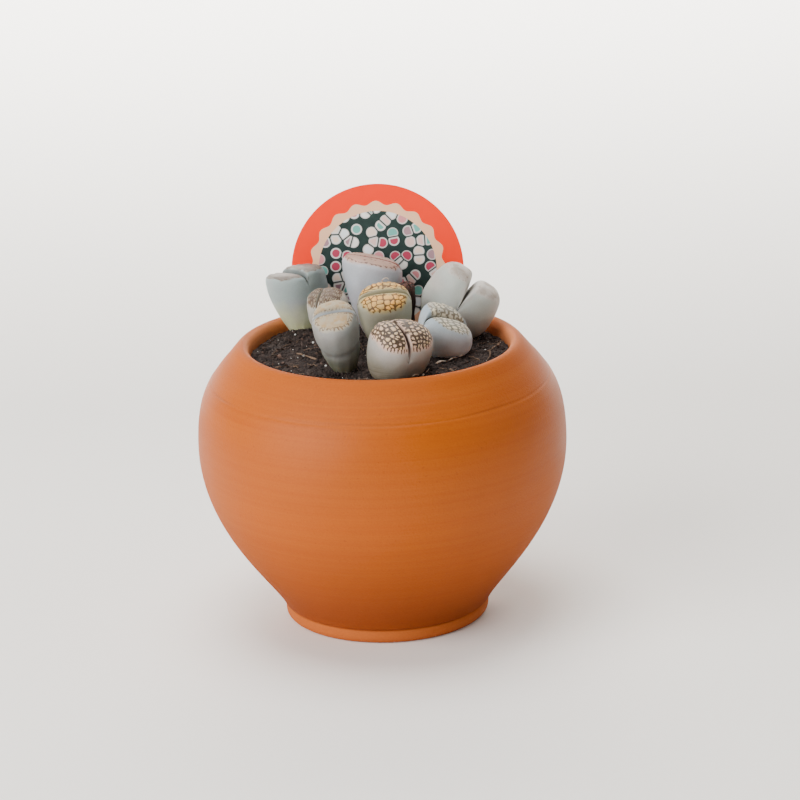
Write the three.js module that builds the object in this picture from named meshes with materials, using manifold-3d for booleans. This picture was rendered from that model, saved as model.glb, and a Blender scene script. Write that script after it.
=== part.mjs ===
// Potted lithops: eight two-lobed heads in a round terracotta pot, with a round push-in plant label behind.
// Millimetres, +Z up. The origin is the centre of the pot's flat foot, and -Y is the front.
import * as THREE from "three";
import { mergeVertices } from "three/addons/utils/BufferGeometryUtils.js";
import Module from "manifold-3d";

const wasm = await Module();
wasm.setup();

// Driving dimensions of the pot
const BELLY_RADIUS = 75;
const BELLY_Z = 74;
const POT_HEIGHT = 115.5;
const FOOT_RADIUS = 38.6;
const GROOVE_RADIUS = 42.5;
const GROOVE_Z = 6.4;
const LIP_RADIUS = 55.6;
const THROAT_RADIUS = 52.8;
const THROAT_Z = 106;
const WALL = 5;
const FLOOR = 7;
const DRAIN_RADIUS = 6;
const POT_SEGMENTS = 48;

// The pot's section as points and cubic curves of [radius, height], up the outside and down the inside
const FOOT_BEAD = [[DRAIN_RADIUS, 0], [FOOT_RADIUS, 0], [41.2, 1], [41.9, 3.2], [41.7, 5.4]];
const BELLY = [[GROOVE_RADIUS, GROOVE_Z], [47.3, 17.4], [BELLY_RADIUS, 40], [BELLY_RADIUS, BELLY_Z]];
const SHOULDER = [[BELLY_RADIUS, BELLY_Z], [BELLY_RADIUS, 98.8], [67.3, 102.6], [58.7, 113.5]];
const LIP = [[58.7, 113.5], [57.2, 115], [56.6, POT_HEIGHT], [LIP_RADIUS, POT_HEIGHT]];
const MOUTH = [[LIP_RADIUS, POT_HEIGHT], [54.2, POT_HEIGHT], [53.1, 114.6], [THROAT_RADIUS, 112]];
const INNER_SHOULDER = [
  [THROAT_RADIUS, THROAT_Z], [56.8, 98], [BELLY_RADIUS - WALL, 92], [BELLY_RADIUS - WALL, BELLY_Z],
];
const INNER_BELLY = [
  [BELLY_RADIUS - WALL, BELLY_Z], [BELLY_RADIUS - WALL, 40], [43.5, 20.8], [GROOVE_RADIUS - WALL, FLOOR],
];

// Driving dimensions of the soil and the label
const SOIL_EDGE_Z = 109.2;
const SOIL_MOUND = 2.0;
const SOIL_LUMP = 0.7;
const LUMP_SIZE = 7;
const SOIL_RINGS = 7;
const HEAP = { at: [-30, 26], height: 3.6, width: 9 };
const GAP = 0.3;
const LABEL_RADIUS = 35.8;
const LABEL_THICKNESS = 0.8;
const LABEL_CENTRE = [0.2, 44, 133.1];
const LABEL_LEAN = 8;
const STAKE_WIDTH = 15;
const STAKE_REACH = 66;

// Every head's axis starts from this level, and the soil closes over its foot
const FOOT_Z = 109.6;
const ROOT_DEPTH = 9;
const ROOT_TIP = 1.5;
const ROOT_TAPER = 0.65;
const SOCKET_CLEARANCE = 0.5;
const SOCKET_SIDES = 14;
const CLEFT_END_CROWDING = 1.4;
const SWING_DROP = 0.5;

// The window of a lobe, as shares of the lobe's reach and of half the cleft's length
const WINDOW = { across: 0.86, along: 0.9, edge: 0.12, inner: 0.08, innerEdge: 0.1 };
// How far an island's centre strays in its cell, and where its top and its sunken rim lie
const ISLAND = { margin: 0.2, stray: 0.6, top: 1.3, radius: 0.5, sunken: 0.6 };

// What the heads share unless their own entry says otherwise. Lengths are mm and angles degrees.
const COMMON = {
  cleft: 6,            // depth of the cleft between the two lobes
  gap: 0.25,           // half the width of the cleft
  waist: 0.5,          // outline at the soil as a share of the outline at the shoulder
  flare: 0.8,          // below 1 the side bulges, above 1 it is hollow
  spread: [2, 2],      // how far each lobe leans away from the cleft
  summit: 0.28,        // where a lobe is highest, from the cleft to its outer side
  roundAlong: 2.6,     // squareness of the crown along the cleft
  roundOut: 2.4,       // squareness of the shoulder
  roundIn: 5,          // squareness of the lip of the cleft
  rise: [0, 0],        // extra height of each lobe
  drawIn: 0.05,        // how far the crown is shorter than the shoulder
  tip: [0, 0],         // slope of the crown across and along the cleft
  wrinkle: 0,          // depth of the wrinkles down the side
  islands: 0,          // height of the raised islands in the windows
  cell: 2.4,           // spacing of the islands
  detail: { around: 16, body: 6, outer: 6, inner: 3 },
};

const FINE = { around: 22, body: 6, outer: 8, inner: 3 };

// foot: x, y where the axis leaves the soil. crown: the middle of the cleft at its lips.
// turn: direction across the cleft. lobes: how far each lobe reaches from the cleft.
const HEADS = [
  {
    name: "lithops_far_left", skin: 0x93a3a2, foot: [-30, 32.7], crown: [-34.8, 27.1, 137.8],
    turn: 30, halfLength: 12.5,
    lobes: [11.5, 13.2], waist: 0.42, flare: 1, spread: [1, 2], tip: [-0.25, -0.27], rise: [0, 2.2],
    roundAlong: 3.8, roundOut: 3.4, summit: 0.5, drawIn: 0.02,
  },
  {
    name: "lithops_small_wrinkled", skin: 0xb5a793, foot: [-18.5, 4], crown: [-23.4, -2, 136.5],
    turn: -15, halfLength: 9,
    lobes: [6, 10.5], waist: 0.42, flare: 1, roundIn: 8, wrinkle: 0.35, islands: 0.35, cell: 3,
  },
  {
    name: "lithops_tall", skin: 0x9c9c8c, foot: [-13.5, -24], crown: [-18.2, -31, 137.2],
    turn: 90, halfLength: 9.2,
    lobes: [10.5, 7.5], cleft: 5, waist: 0.38, tip: [0.25, 0], rise: [0, 1], roundOut: 2.1,
    wrinkle: 0.15,
  },
  {
    name: "lithops_back", skin: 0xa5a3a8, foot: [-2, 27], crown: [-2, 30, 142.4],
    turn: 88, halfLength: 12.3,
    lobes: [11, 11], cleft: 4, waist: 0.3, flare: 1, spread: [3, 3], summit: 0.4, tip: [0, 0.22],
    roundAlong: 3, roundOut: 2.3,
  },
  {
    name: "lithops_centre", skin: 0xc2ab72, foot: [4, 9], crown: [2, -3, 136.8],
    turn: 92, halfLength: 11,
    lobes: [10, 9], spread: [3, 3], islands: 0.45, cell: 3.4, detail: FINE,
  },
  {
    name: "lithops_front", skin: 0xaa9a8e, foot: [3.9, -31.3], crown: [8.2, -36.4, 131.8],
    turn: 28, halfLength: 11.3,
    lobes: [11.1, 15.6], cleft: 11, gap: 0.15, waist: 0.65, flare: 0.6, spread: [3, 3], summit: 0.22,
    roundIn: 10, islands: 0.4, cell: 2.4, detail: FINE,
  },
  {
    name: "lithops_right", skin: 0x8f9a9e, foot: [24, -5.5], crown: [28.2, -9, 127.2],
    turn: 122, halfLength: 12,
    lobes: [11, 11], cleft: 7, spread: [3, 3], tip: [0.15, 0.3], rise: [0, 1.6],
    islands: 0.35, cell: 2.4, detail: FINE,
  },
  {
    name: "lithops_far_right", skin: 0xaaaba3, foot: [24, 20], crown: [39.8, 18, 135.2],
    turn: -8, halfLength: 11.5,
    lobes: [15.6, 15], cleft: 14, waist: 0.4, flare: 0.95, spread: [0, 3], rise: [1.2, 0.1],
    roundAlong: 3.2, roundOut: 2.7, roundIn: 4.5, summit: 0.47,
  },
  {
    name: "withered_head", skin: 0x4e2d24, foot: [11, 20.5], crown: [11.6, 19.5, 134],
    turn: 40, halfLength: 3.6,
    lobes: [3.8, 3.6], cleft: 3, waist: 0.8, wrinkle: 0.5, spread: [6, 6],
    detail: { around: 12, body: 6, outer: 3, inner: 2 },
  },
].map((own) => ({ ...COMMON, ...own }));

// Torn papery sheaths of last year's leaves, which stand round the foot of a head
const SHEATHS = [
  { name: "dried_sheath_right", head: "lithops_right", from: 140, to: 235, height: 1.8 },
  { name: "dried_sheath_front", head: "lithops_front", from: -56, to: -30, height: 5.6 },
];
const SHEATH_THICKNESS = 0.7;
const SHEATH_OFF = 0.6;
const SHEATH_DEPTH = 2;
const SHEATH_STEPS = 12;
const SHEATH_NOTCH = 0.8;
const SHEATH_CLEARANCE = 0.45;
const DEGREES_PER_CLEARANCE = 4;

// Colours and roughnesses of the finishes. Each head has a skin colour of its own.
const TERRACOTTA = 0xc4703a;
const SOIL = 0x2e2622;
const LABEL = 0xf0522e;
const DRIED = 0x6b3a2c;
const MATTE = 0.9;
const WAXY = 0.65;
const GLOSSY = 0.35;

function finish(name, geometry, color, roughness) {
  const mesh = new THREE.Mesh(geometry, new THREE.MeshStandardMaterial({ color, roughness, metalness: 0 }));
  mesh.name = name;
  return mesh;
}

function radians(degrees) {
  return THREE.MathUtils.degToRad(degrees);
}

function smooth(share) {
  const s = THREE.MathUtils.clamp(share, 0, 1);
  return s * s * (3 - 2 * s);
}

// A fixed pseudo-random value from 0 to 1 for a pair of whole numbers
function chance(i, j, seed) {
  const s = Math.sin(i * 127.1 + j * 311.7 + seed * 74.7) * 43758.5453;
  return s - Math.floor(s);
}

function lumps(x, y, size, seed) {
  const i = Math.floor(x / size);
  const j = Math.floor(y / size);
  const u = smooth(x / size - i);
  const v = smooth(y / size - j);
  const low = THREE.MathUtils.lerp(chance(i, j, seed), chance(i + 1, j, seed), u);
  const high = THREE.MathUtils.lerp(chance(i, j + 1, seed), chance(i + 1, j + 1, seed), u);
  return THREE.MathUtils.lerp(low, high, v) * 2 - 1;
}

function curve(points, divisions) {
  const [a, b, c, d] = points.map(([r, z]) => new THREE.Vector2(r, z));
  return new THREE.CubicBezierCurve(a, b, c, d).getPoints(divisions);
}

function closed(geometry) {
  const bare = geometry.clone();
  bare.deleteAttribute("normal");
  bare.deleteAttribute("uv");
  return mergeVertices(bare, 1e-4);
}

function solid(geometry) {
  const merged = closed(geometry);
  return new wasm.Manifold(new wasm.Mesh({
    numProp: 3,
    vertProperties: new Float32Array(merged.attributes.position.array),
    triVerts: new Uint32Array(merged.index.array),
  }));
}

function geometryOf(manifold) {
  const mesh = manifold.getMesh();
  const geometry = new THREE.BufferGeometry();
  geometry.setAttribute("position", new THREE.BufferAttribute(mesh.vertProperties, 3));
  geometry.setIndex(new THREE.BufferAttribute(mesh.triVerts, 1));
  return geometry;
}

function meshGeometry(points, faces) {
  const geometry = new THREE.BufferGeometry();
  geometry.setAttribute("position", new THREE.Float32BufferAttribute(points.flat(), 3));
  geometry.setIndex(faces.flat());
  return geometry;
}

// The inner side of the pot's wall from the throat down to the floor, held off by a clearance
function innerWall(clear) {
  const wall = [...curve(INNER_SHOULDER, 3), ...curve(INNER_BELLY, 5).slice(1)];
  return wall.map(({ x, y }) => new THREE.Vector2(x - clear, Math.max(y, FLOOR + clear)));
}

function pot() {
  const foot = FOOT_BEAD.map(([radius, z]) => new THREE.Vector2(radius, z));
  const outside = [
    ...curve(BELLY, 7),
    ...curve(SHOULDER, 6).slice(1),
    ...curve(LIP, 2).slice(1),
    ...curve(MOUTH, 2).slice(1),
  ];
  const profile = [...foot, ...outside, ...innerWall(0), new THREE.Vector2(DRAIN_RADIUS, FLOOR), foot[0]];
  const turned = new THREE.LatheGeometry(profile, POT_SEGMENTS);
  turned.rotateX(Math.PI / 2);
  return finish("pot", closed(turned), TERRACOTTA, MATTE);
}

// The directions across the cleft, along it and up a head's axis, and the height of its crown
function frameOf(head) {
  const foot = new THREE.Vector3(head.foot[0], head.foot[1], FOOT_Z);
  const up = new THREE.Vector3(...head.crown).sub(foot);
  const height = up.length();
  up.normalize();
  const turned = new THREE.Vector3(Math.cos(radians(head.turn)), Math.sin(radians(head.turn)), 0);
  const lean = new THREE.Quaternion().setFromUnitVectors(new THREE.Vector3(0, 0, 1), up);
  const across = turned.applyQuaternion(lean);
  const along = new THREE.Vector3().crossVectors(up, across);
  return { foot, across, along, up, height };
}

// Maps a point of a head from its own axes to the pot's
function place(head, frame, x, y, z) {
  const notch = frame.height - head.cleft;
  const tipped = z + smooth(z / notch) * (head.tip[0] * x + head.tip[1] * y);
  const p = frame.foot.clone();
  p.addScaledVector(frame.across, x).addScaledVector(frame.along, y).addScaledVector(frame.up, tipped);
  return p.toArray();
}

// The outline at height z as a share of the outline at the shoulder
function girth(head, notch, z) {
  if (z < 0) {
    return head.waist * (1 - ROOT_TAPER * smooth(-z / ROOT_DEPTH));
  }
  const rise = Math.sin(Math.min(z / notch, 1) * Math.PI / 2) ** head.flare;
  return head.waist + (1 - head.waist) * rise;
}

// Two crossing waves round the side
function wrinkles(head, angle, z) {
  return head.wrinkle * Math.sin(7 * angle + z / 4) * Math.sin(3 * angle - z / 2.5 + 1);
}

// Raised islands with sunken lines between them, inside the D-shaped window of a lobe
function windowRelief(head, side, x, y) {
  const reach = side < 0 ? head.lobes[0] : head.lobes[1];
  const edge = 1 - Math.hypot(x / (WINDOW.across * reach), y / (WINDOW.along * head.halfLength));
  const inside = smooth(edge / WINDOW.edge) * smooth((x / reach - WINDOW.inner) / WINDOW.innerEdge);
  const i = Math.floor(x / head.cell);
  const j = Math.floor(y / head.cell);
  const centre = (cell, value) => (cell + ISLAND.margin + ISLAND.stray * value) * head.cell;
  let nearest = head.cell;
  for (const a of [i - 1, i, i + 1]) {
    for (const b of [j - 1, j, j + 1]) {
      const cx = centre(a, chance(a, b, side + 5));
      const cy = centre(b, chance(a, b, side + 9));
      nearest = Math.min(nearest, Math.hypot(x - cx, y - cy));
    }
  }
  const island = smooth(ISLAND.top - nearest / (ISLAND.radius * head.cell));
  return head.islands * inside * (island - ISLAND.sunken);
}

// One step of a lobe's section over its crown, from the shoulder (0) over the summit to the foot of the cleft
function crownPoint(head, width, rise, step) {
  const { outer, inner } = head.detail;
  const gap = head.gap * rise / head.cleft;
  const summit = gap + head.summit * (width - gap);
  if (step <= outer) {
    const angle = Math.PI / 2 * step / outer;
    const power = 2 / head.roundOut;
    const x = summit + (width - summit) * Math.max(Math.cos(angle), 0) ** power;
    return [x, rise * Math.sin(angle) ** power];
  }
  const angle = Math.PI / 2 * (step - outer) / inner;
  const power = 2 / head.roundIn;
  const x = summit - (summit - gap) * Math.sin(angle) ** power;
  return [x, rise * Math.max(Math.cos(angle), 0) ** power];
}

// A head as one closed surface: both lobes share the ends of the cleft and its bottom line
function headGeometry(head) {
  const frame = frameOf(head);
  const { around, body, outer, inner } = head.detail;
  const notch = frame.height - head.cleft;
  const points = [];
  const known = new Map();
  const remember = (key, x, y, z) => {
    if (!known.has(key)) {
      known.set(key, points.length);
      points.push(place(head, frame, x, y, z));
    }
    return known.get(key);
  };
  const pointAt = (side, i, step) => {
    const t = 2 * i / around - 1;
    const turn = Math.sign(t) * (1 - (1 - Math.abs(t)) ** CLEFT_END_CROWDING) * Math.PI / 2;
    const end = i === 0 || i === around;
    const lobe = side < 0 ? 0 : 1;
    const reach = head.lobes[lobe];
    if (step <= body || end) {
      const level = Math.min(step, body);
      const z = -ROOT_DEPTH + (notch + ROOT_DEPTH) * level / body;
      const ridge = wrinkles(head, side < 0 ? Math.PI - turn : turn, z);
      const share = girth(head, notch, z);
      const x = side * (reach * share + ridge) * Math.cos(turn);
      const y = (head.halfLength * share + ridge) * Math.sin(turn);
      return remember(end ? `end ${i} ${level}` : `${side} ${i} ${level}`, end ? 0 : x, y, z);
    }
    if (step === body + outer + inner) {
      return remember(`cleft ${i}`, 0, head.halfLength * Math.sin(turn), notch);
    }
    const round = Math.max(1 - Math.abs(Math.sin(turn)) ** head.roundAlong, 0) ** (1 / head.roundAlong);
    const rise = (head.cleft + head.rise[lobe]) * round;
    const ridge = wrinkles(head, side < 0 ? Math.PI - turn : turn, notch);
    const [x, z] = crownPoint(head, (reach + ridge) * Math.cos(turn), rise, step - body);
    const share = z / rise;
    const y = (head.halfLength + ridge * (1 - share)) * Math.sin(turn) * (1 - head.drawIn * share ** 2);
    const swing = radians(head.spread[lobe]) * share;
    const outX = x * Math.cos(swing) + z * Math.sin(swing);
    const dropped = z * Math.cos(swing) - SWING_DROP * x * Math.sin(swing);
    const outZ = dropped + windowRelief(head, side, x, y) * share;
    return remember(`${side} ${i} ${step}`, side * outX, y, notch + outZ);
  };
  const faces = [];
  const addFace = (a, b, c) => {
    if (a !== b && b !== c && c !== a) {
      faces.push([a, b, c]);
    }
  };
  for (const side of [-1, 1]) {
    for (let i = 0; i < around; i++) {
      for (let step = 0; step < body + outer + inner; step++) {
        const corner = [
          pointAt(side, i, step), pointAt(side, i + 1, step),
          pointAt(side, i + 1, step + 1), pointAt(side, i, step + 1),
        ];
        if (side < 0) {
          corner.reverse();
        }
        addFace(corner[0], corner[1], corner[2]);
        addFace(corner[0], corner[2], corner[3]);
      }
    }
  }
  const tip = points.length;
  points.push(place(head, frame, 0, 0, -ROOT_DEPTH - ROOT_TIP));
  const rim = [];
  for (let i = 0; i <= around; i++) {
    rim.push(pointAt(1, i, 0));
  }
  for (let i = around - 1; i > 0; i--) {
    rim.push(pointAt(-1, i, 0));
  }
  rim.forEach((corner, k) => addFace(rim[(k + 1) % rim.length], corner, tip));
  return meshGeometry(points, faces);
}

// The plain hole that a head stands in: its own outline below the cleft, a little fatter
function socketGeometry(head) {
  const frame = frameOf(head);
  const notch = frame.height - head.cleft;
  const rings = head.detail.body + 1;
  const grow = SOCKET_CLEARANCE + head.wrinkle;
  const points = [place(head, frame, 0, 0, -ROOT_DEPTH - ROOT_TIP - 2 * grow)];
  const faces = [];
  const at = (ring, i) => 1 + ring * SOCKET_SIDES + i % SOCKET_SIDES;
  for (let level = 0; level < rings; level++) {
    const z = -ROOT_DEPTH + (notch + ROOT_DEPTH) * level / head.detail.body;
    const share = girth(head, notch, z);
    for (let i = 0; i < SOCKET_SIDES; i++) {
      const angle = 2 * Math.PI * i / SOCKET_SIDES;
      const reach = Math.cos(angle) < 0 ? head.lobes[0] : head.lobes[1];
      const x = (reach * share + grow) * Math.cos(angle);
      const y = (head.halfLength * share + grow) * Math.sin(angle);
      points.push(place(head, frame, x, y, level === 0 ? z - grow : z));
    }
  }
  points.push(place(head, frame, 0, 0, notch + head.cleft / 2));
  for (let i = 0; i < SOCKET_SIDES; i++) {
    faces.push([0, at(0, i + 1), at(0, i)]);
    for (let ring = 0; ring + 1 < rings; ring++) {
      faces.push([at(ring, i), at(ring, i + 1), at(ring + 1, i + 1)]);
      faces.push([at(ring, i), at(ring + 1, i + 1), at(ring + 1, i)]);
    }
    faces.push([at(rings - 1, i), at(rings - 1, i + 1), points.length - 1]);
  }
  return meshGeometry(points, faces);
}

// A torn strip that follows a head's side just above and below the soil
function sheathGeometry(sheath, grow = 0) {
  const head = HEADS.find((one) => one.name === sheath.head);
  const frame = frameOf(head);
  const notch = frame.height - head.cleft;
  const points = [];
  const faces = [];
  const longer = grow * DEGREES_PER_CLEARANCE;
  for (let i = 0; i <= SHEATH_STEPS; i++) {
    const end = i === 0 ? -longer : i === SHEATH_STEPS ? longer : 0;
    const angle = radians(THREE.MathUtils.lerp(sheath.from, sheath.to, i / SHEATH_STEPS) + end);
    const torn = sheath.height * (0.75 + 0.25 * lumps(1.3 * i, 2, 1, 3)) * (i % 2 === 0 ? 1 : SHEATH_NOTCH);
    const reach = Math.cos(angle) < 0 ? head.lobes[0] : head.lobes[1];
    const section = [
      [SHEATH_OFF - grow, -SHEATH_DEPTH - grow],
      [SHEATH_OFF + SHEATH_THICKNESS + grow, -SHEATH_DEPTH - grow],
      [SHEATH_OFF + SHEATH_THICKNESS + grow, torn + grow],
      [SHEATH_OFF - grow, torn + grow],
    ];
    for (const [off, z] of section) {
      const share = girth(head, notch, THREE.MathUtils.clamp(z, -SHEATH_DEPTH, torn));
      const x = (reach * share + off) * Math.cos(angle);
      const y = (head.halfLength * share + off) * Math.sin(angle);
      points.push(place(head, frame, x, y, z));
    }
  }
  for (let i = 0; i < SHEATH_STEPS; i++) {
    for (let k = 0; k < 4; k++) {
      const next = (k + 1) % 4;
      const [a, b, c, d] = [i * 4 + k, i * 4 + next, i * 4 + 4 + next, i * 4 + 4 + k];
      faces.push([a, c, b], [a, d, c]);
    }
  }
  const last = SHEATH_STEPS * 4;
  faces.push([0, 1, 2], [0, 2, 3], [last, last + 2, last + 1], [last, last + 3, last + 2]);
  return meshGeometry(points, faces);
}

// A round disc with a pointed stake, leaning back a little
function labelGeometry(grow = 0) {
  const radius = LABEL_RADIUS + grow;
  const half = STAKE_WIDTH / 2 + grow;
  const opening = Math.asin(half / radius);
  const outline = new THREE.Shape();
  outline.absarc(0, 0, radius, opening - Math.PI / 2, 1.5 * Math.PI - opening, false);
  const end = -STAKE_REACH - grow * Math.SQRT2;
  outline.lineTo(-half, end + half);
  outline.lineTo(0, end);
  outline.lineTo(half, end + half);
  const depth = LABEL_THICKNESS + 2 * grow;
  const plate = new THREE.ExtrudeGeometry(outline, { depth, bevelEnabled: false, curveSegments: 36 });
  plate.translate(0, 0, -depth / 2);
  plate.rotateX(Math.PI / 2 - radians(LABEL_LEAN));
  plate.translate(...LABEL_CENTRE);
  return plate;
}

function soilHeight(x, y) {
  const out = Math.hypot(x, y) / THROAT_RADIUS;
  const heap = HEAP.height * Math.exp(-(((x - HEAP.at[0]) ** 2 + (y - HEAP.at[1]) ** 2) / HEAP.width ** 2));
  const lump = SOIL_LUMP * lumps(x, y, LUMP_SIZE, 1) * Math.min(1, 4 * (1 - out));
  return SOIL_EDGE_Z + SOIL_MOUND * (1 - out ** 4) + heap + lump;
}

// The fill of the pot: the inside of the wall below, a lumpy surface above
function soilGeometry() {
  const side = [
    ...innerWall(GAP).reverse(),
    new THREE.Vector2(THROAT_RADIUS - GAP, SOIL_EDGE_Z),
  ];
  const points = [[0, 0, FLOOR + GAP]];
  const rings = side.map(({ x, y }) => ({ radius: x, z: () => y }));
  for (let ring = SOIL_RINGS - 1; ring > 0; ring--) {
    rings.push({ radius: (THROAT_RADIUS - GAP) * ring / SOIL_RINGS, z: soilHeight });
  }
  for (const { radius, z } of rings) {
    for (let i = 0; i < POT_SEGMENTS; i++) {
      const angle = 2 * Math.PI * i / POT_SEGMENTS;
      const [x, y] = [radius * Math.cos(angle), radius * Math.sin(angle)];
      points.push([x, y, z(x, y)]);
    }
  }
  points.push([0, 0, soilHeight(0, 0)]);
  const faces = [];
  const at = (ring, i) => 1 + ring * POT_SEGMENTS + i % POT_SEGMENTS;
  for (let i = 0; i < POT_SEGMENTS; i++) {
    faces.push([0, at(0, i + 1), at(0, i)]);
    for (let ring = 0; ring + 1 < rings.length; ring++) {
      faces.push([at(ring, i), at(ring, i + 1), at(ring + 1, i + 1)]);
      faces.push([at(ring, i), at(ring + 1, i + 1), at(ring + 1, i)]);
    }
    faces.push([at(rings.length - 1, i), at(rings.length - 1, i + 1), points.length - 1]);
  }
  return meshGeometry(points, faces);
}

function soil() {
  let fill = solid(soilGeometry());
  for (const head of HEADS) {
    fill = fill.subtract(solid(socketGeometry(head)));
  }
  for (const sheath of SHEATHS) {
    fill = fill.subtract(solid(sheathGeometry(sheath, SHEATH_CLEARANCE)));
  }
  fill = fill.subtract(solid(labelGeometry(GAP)));
  return finish("soil", geometryOf(fill), SOIL, MATTE);
}

const plant = new THREE.Group();
plant.add(pot(), soil(), finish("plant_label", closed(labelGeometry()), LABEL, GLOSSY));
for (const head of HEADS) {
  plant.add(finish(head.name, headGeometry(head), head.skin, WAXY));
}
for (const sheath of SHEATHS) {
  plant.add(finish(sheath.name, sheathGeometry(sheath), DRIED, MATTE));
}

export default plant;
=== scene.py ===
"""Potted lithops: two-lobed heads in a round terracotta pot of soil, with a push-in label."""

import math

import bmesh
import bpy
import numpy as np
from bpy.props import CollectionProperty
from bpy.props import FloatProperty
from bpy.props import FloatVectorProperty
from bpy.props import IntProperty
from bpy.props import PointerProperty
from bpy.props import StringProperty
from mathutils import Matrix, Vector


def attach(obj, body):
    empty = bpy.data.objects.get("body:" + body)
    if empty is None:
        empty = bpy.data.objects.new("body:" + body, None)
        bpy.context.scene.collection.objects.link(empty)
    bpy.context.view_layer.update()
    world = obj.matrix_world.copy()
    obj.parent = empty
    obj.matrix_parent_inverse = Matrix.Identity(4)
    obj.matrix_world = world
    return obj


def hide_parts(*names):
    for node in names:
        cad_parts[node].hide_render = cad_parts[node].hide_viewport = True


bl_info = {
    "name": "Potted Lithops",
    "version": (1, 0, 0),
    "blender": (4, 5, 0),
    "location": "3D View > Sidebar > Plant",
    "description": "Builds a pot of lithops with its soil, push-in label and dry leaves",
    "category": "Object",
}

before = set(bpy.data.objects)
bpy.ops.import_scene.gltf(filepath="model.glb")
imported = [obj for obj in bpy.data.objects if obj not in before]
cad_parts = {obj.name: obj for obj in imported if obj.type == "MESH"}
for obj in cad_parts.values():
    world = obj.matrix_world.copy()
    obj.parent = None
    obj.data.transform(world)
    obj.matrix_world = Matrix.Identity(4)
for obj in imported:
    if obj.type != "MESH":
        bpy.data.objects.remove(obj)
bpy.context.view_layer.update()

MM = 0.001
FULL_TURN = 6.28  # radians

# Sizes that the pieces share, in metres
FOOT_Z = 109.6 * MM
ROOT_DEPTH = 9 * MM
THROAT_RADIUS = 52.8 * MM
POT_FLOOR = 7 * MM
BEAD_TOP = 6 * MM
SOIL_RADIUS = 52.6 * MM
SOIL_CLEARANCE = 0.3 * MM
SOIL_FLOOR = 7.3 * MM
SOIL_EDGE_Z = 109.2 * MM
SOIL_MOUND = 2 * MM
SOIL_LUMP = 0.7 * MM
LUMP_SIZE = 7 * MM
HEAP_AT = (-30 * MM, 26 * MM)
HEAP_HEIGHT = 3.6 * MM
HEAP_WIDTH = 9 * MM
SHEATH_LAYERS = (0.65 * MM, 1.0 * MM)
STRAND_FACING = (0.35, 0.2, 0.9)
LINE_SOFTNESS = 0.35 * MM

# How a head is shaped: shares, powers and numbers of grid steps
ROOT_TAPER = 0.65
CREASE_REACH = 0.07
CELL_EDGE = 0.2
CELL_PLAY = 0.6
WINDOW_POWER = 2.5
ROUND_CROWDING = 1.4
HELD_STEPS = 5

# Steps round a lobe, up its body, over its crown and down into the cleft
HEAD_COUNTS = (132, 40, 76, 18)
WITHERED_COUNTS = (60, 40, 24, 10)

# The floor and the backdrop that it bends up into, in metres
FLOOR_FRONT = -3.5
FLOOR_REACH = 4.0
BACKDROP_Y = 2.9
BACKDROP_TOP = 3.2

# The print on the label: how many waves its ring has, and the colours of its pebbles
SCALLOPS = 20
PEBBLE_TINTS = (
    "#f2efe8", "#d98f92", "#e8eef0", "#6fb3a8", "#b4435a", "#f1d9c6", "#a8858c", "#e6c3b9",
)
SKIN_PARTS = ("Foot", "Side", "Flush", "Margin", "Island", "Line", "Lip")

# The pot's section as cubic curves of (radius, height) in mm, up the outside and down the inside
POT_OUTSIDE = [
    [(38.6, 0), (40.9, 0), (41.9, 1.5), (41.8, 3.4)],
    [(41.8, 3.4), (41.7, 4.9), (41.5, 5.5), (41.1, 5.7)],
    [(41.1, 5.7), (41.2, 6.1), (42.1, 6.2), (42.6, 6.8)],
    [(42.6, 6.8), (47.4, 17.4), (75, 40), (75, 74)],
    [(75, 74), (75, 98.8), (67.3, 102.6), (58.7, 113.5)],
    [(58.7, 113.5), (57.2, 115), (56.6, 115.5), (55.6, 115.5)],
    [(55.6, 115.5), (54.2, 115.5), (53.1, 114.6), (52.8, 112)],
]
POT_INSIDE = [
    [(52.8, 106), (56.8, 98), (70, 92), (70, 74)],
    [(70, 74), (70, 40), (43.5, 20.8), (37.5, 7)],
]
POT_STEPS = [10, 8, 6, 70, 110, 12, 14]
POT_SEGMENTS = 224

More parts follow.
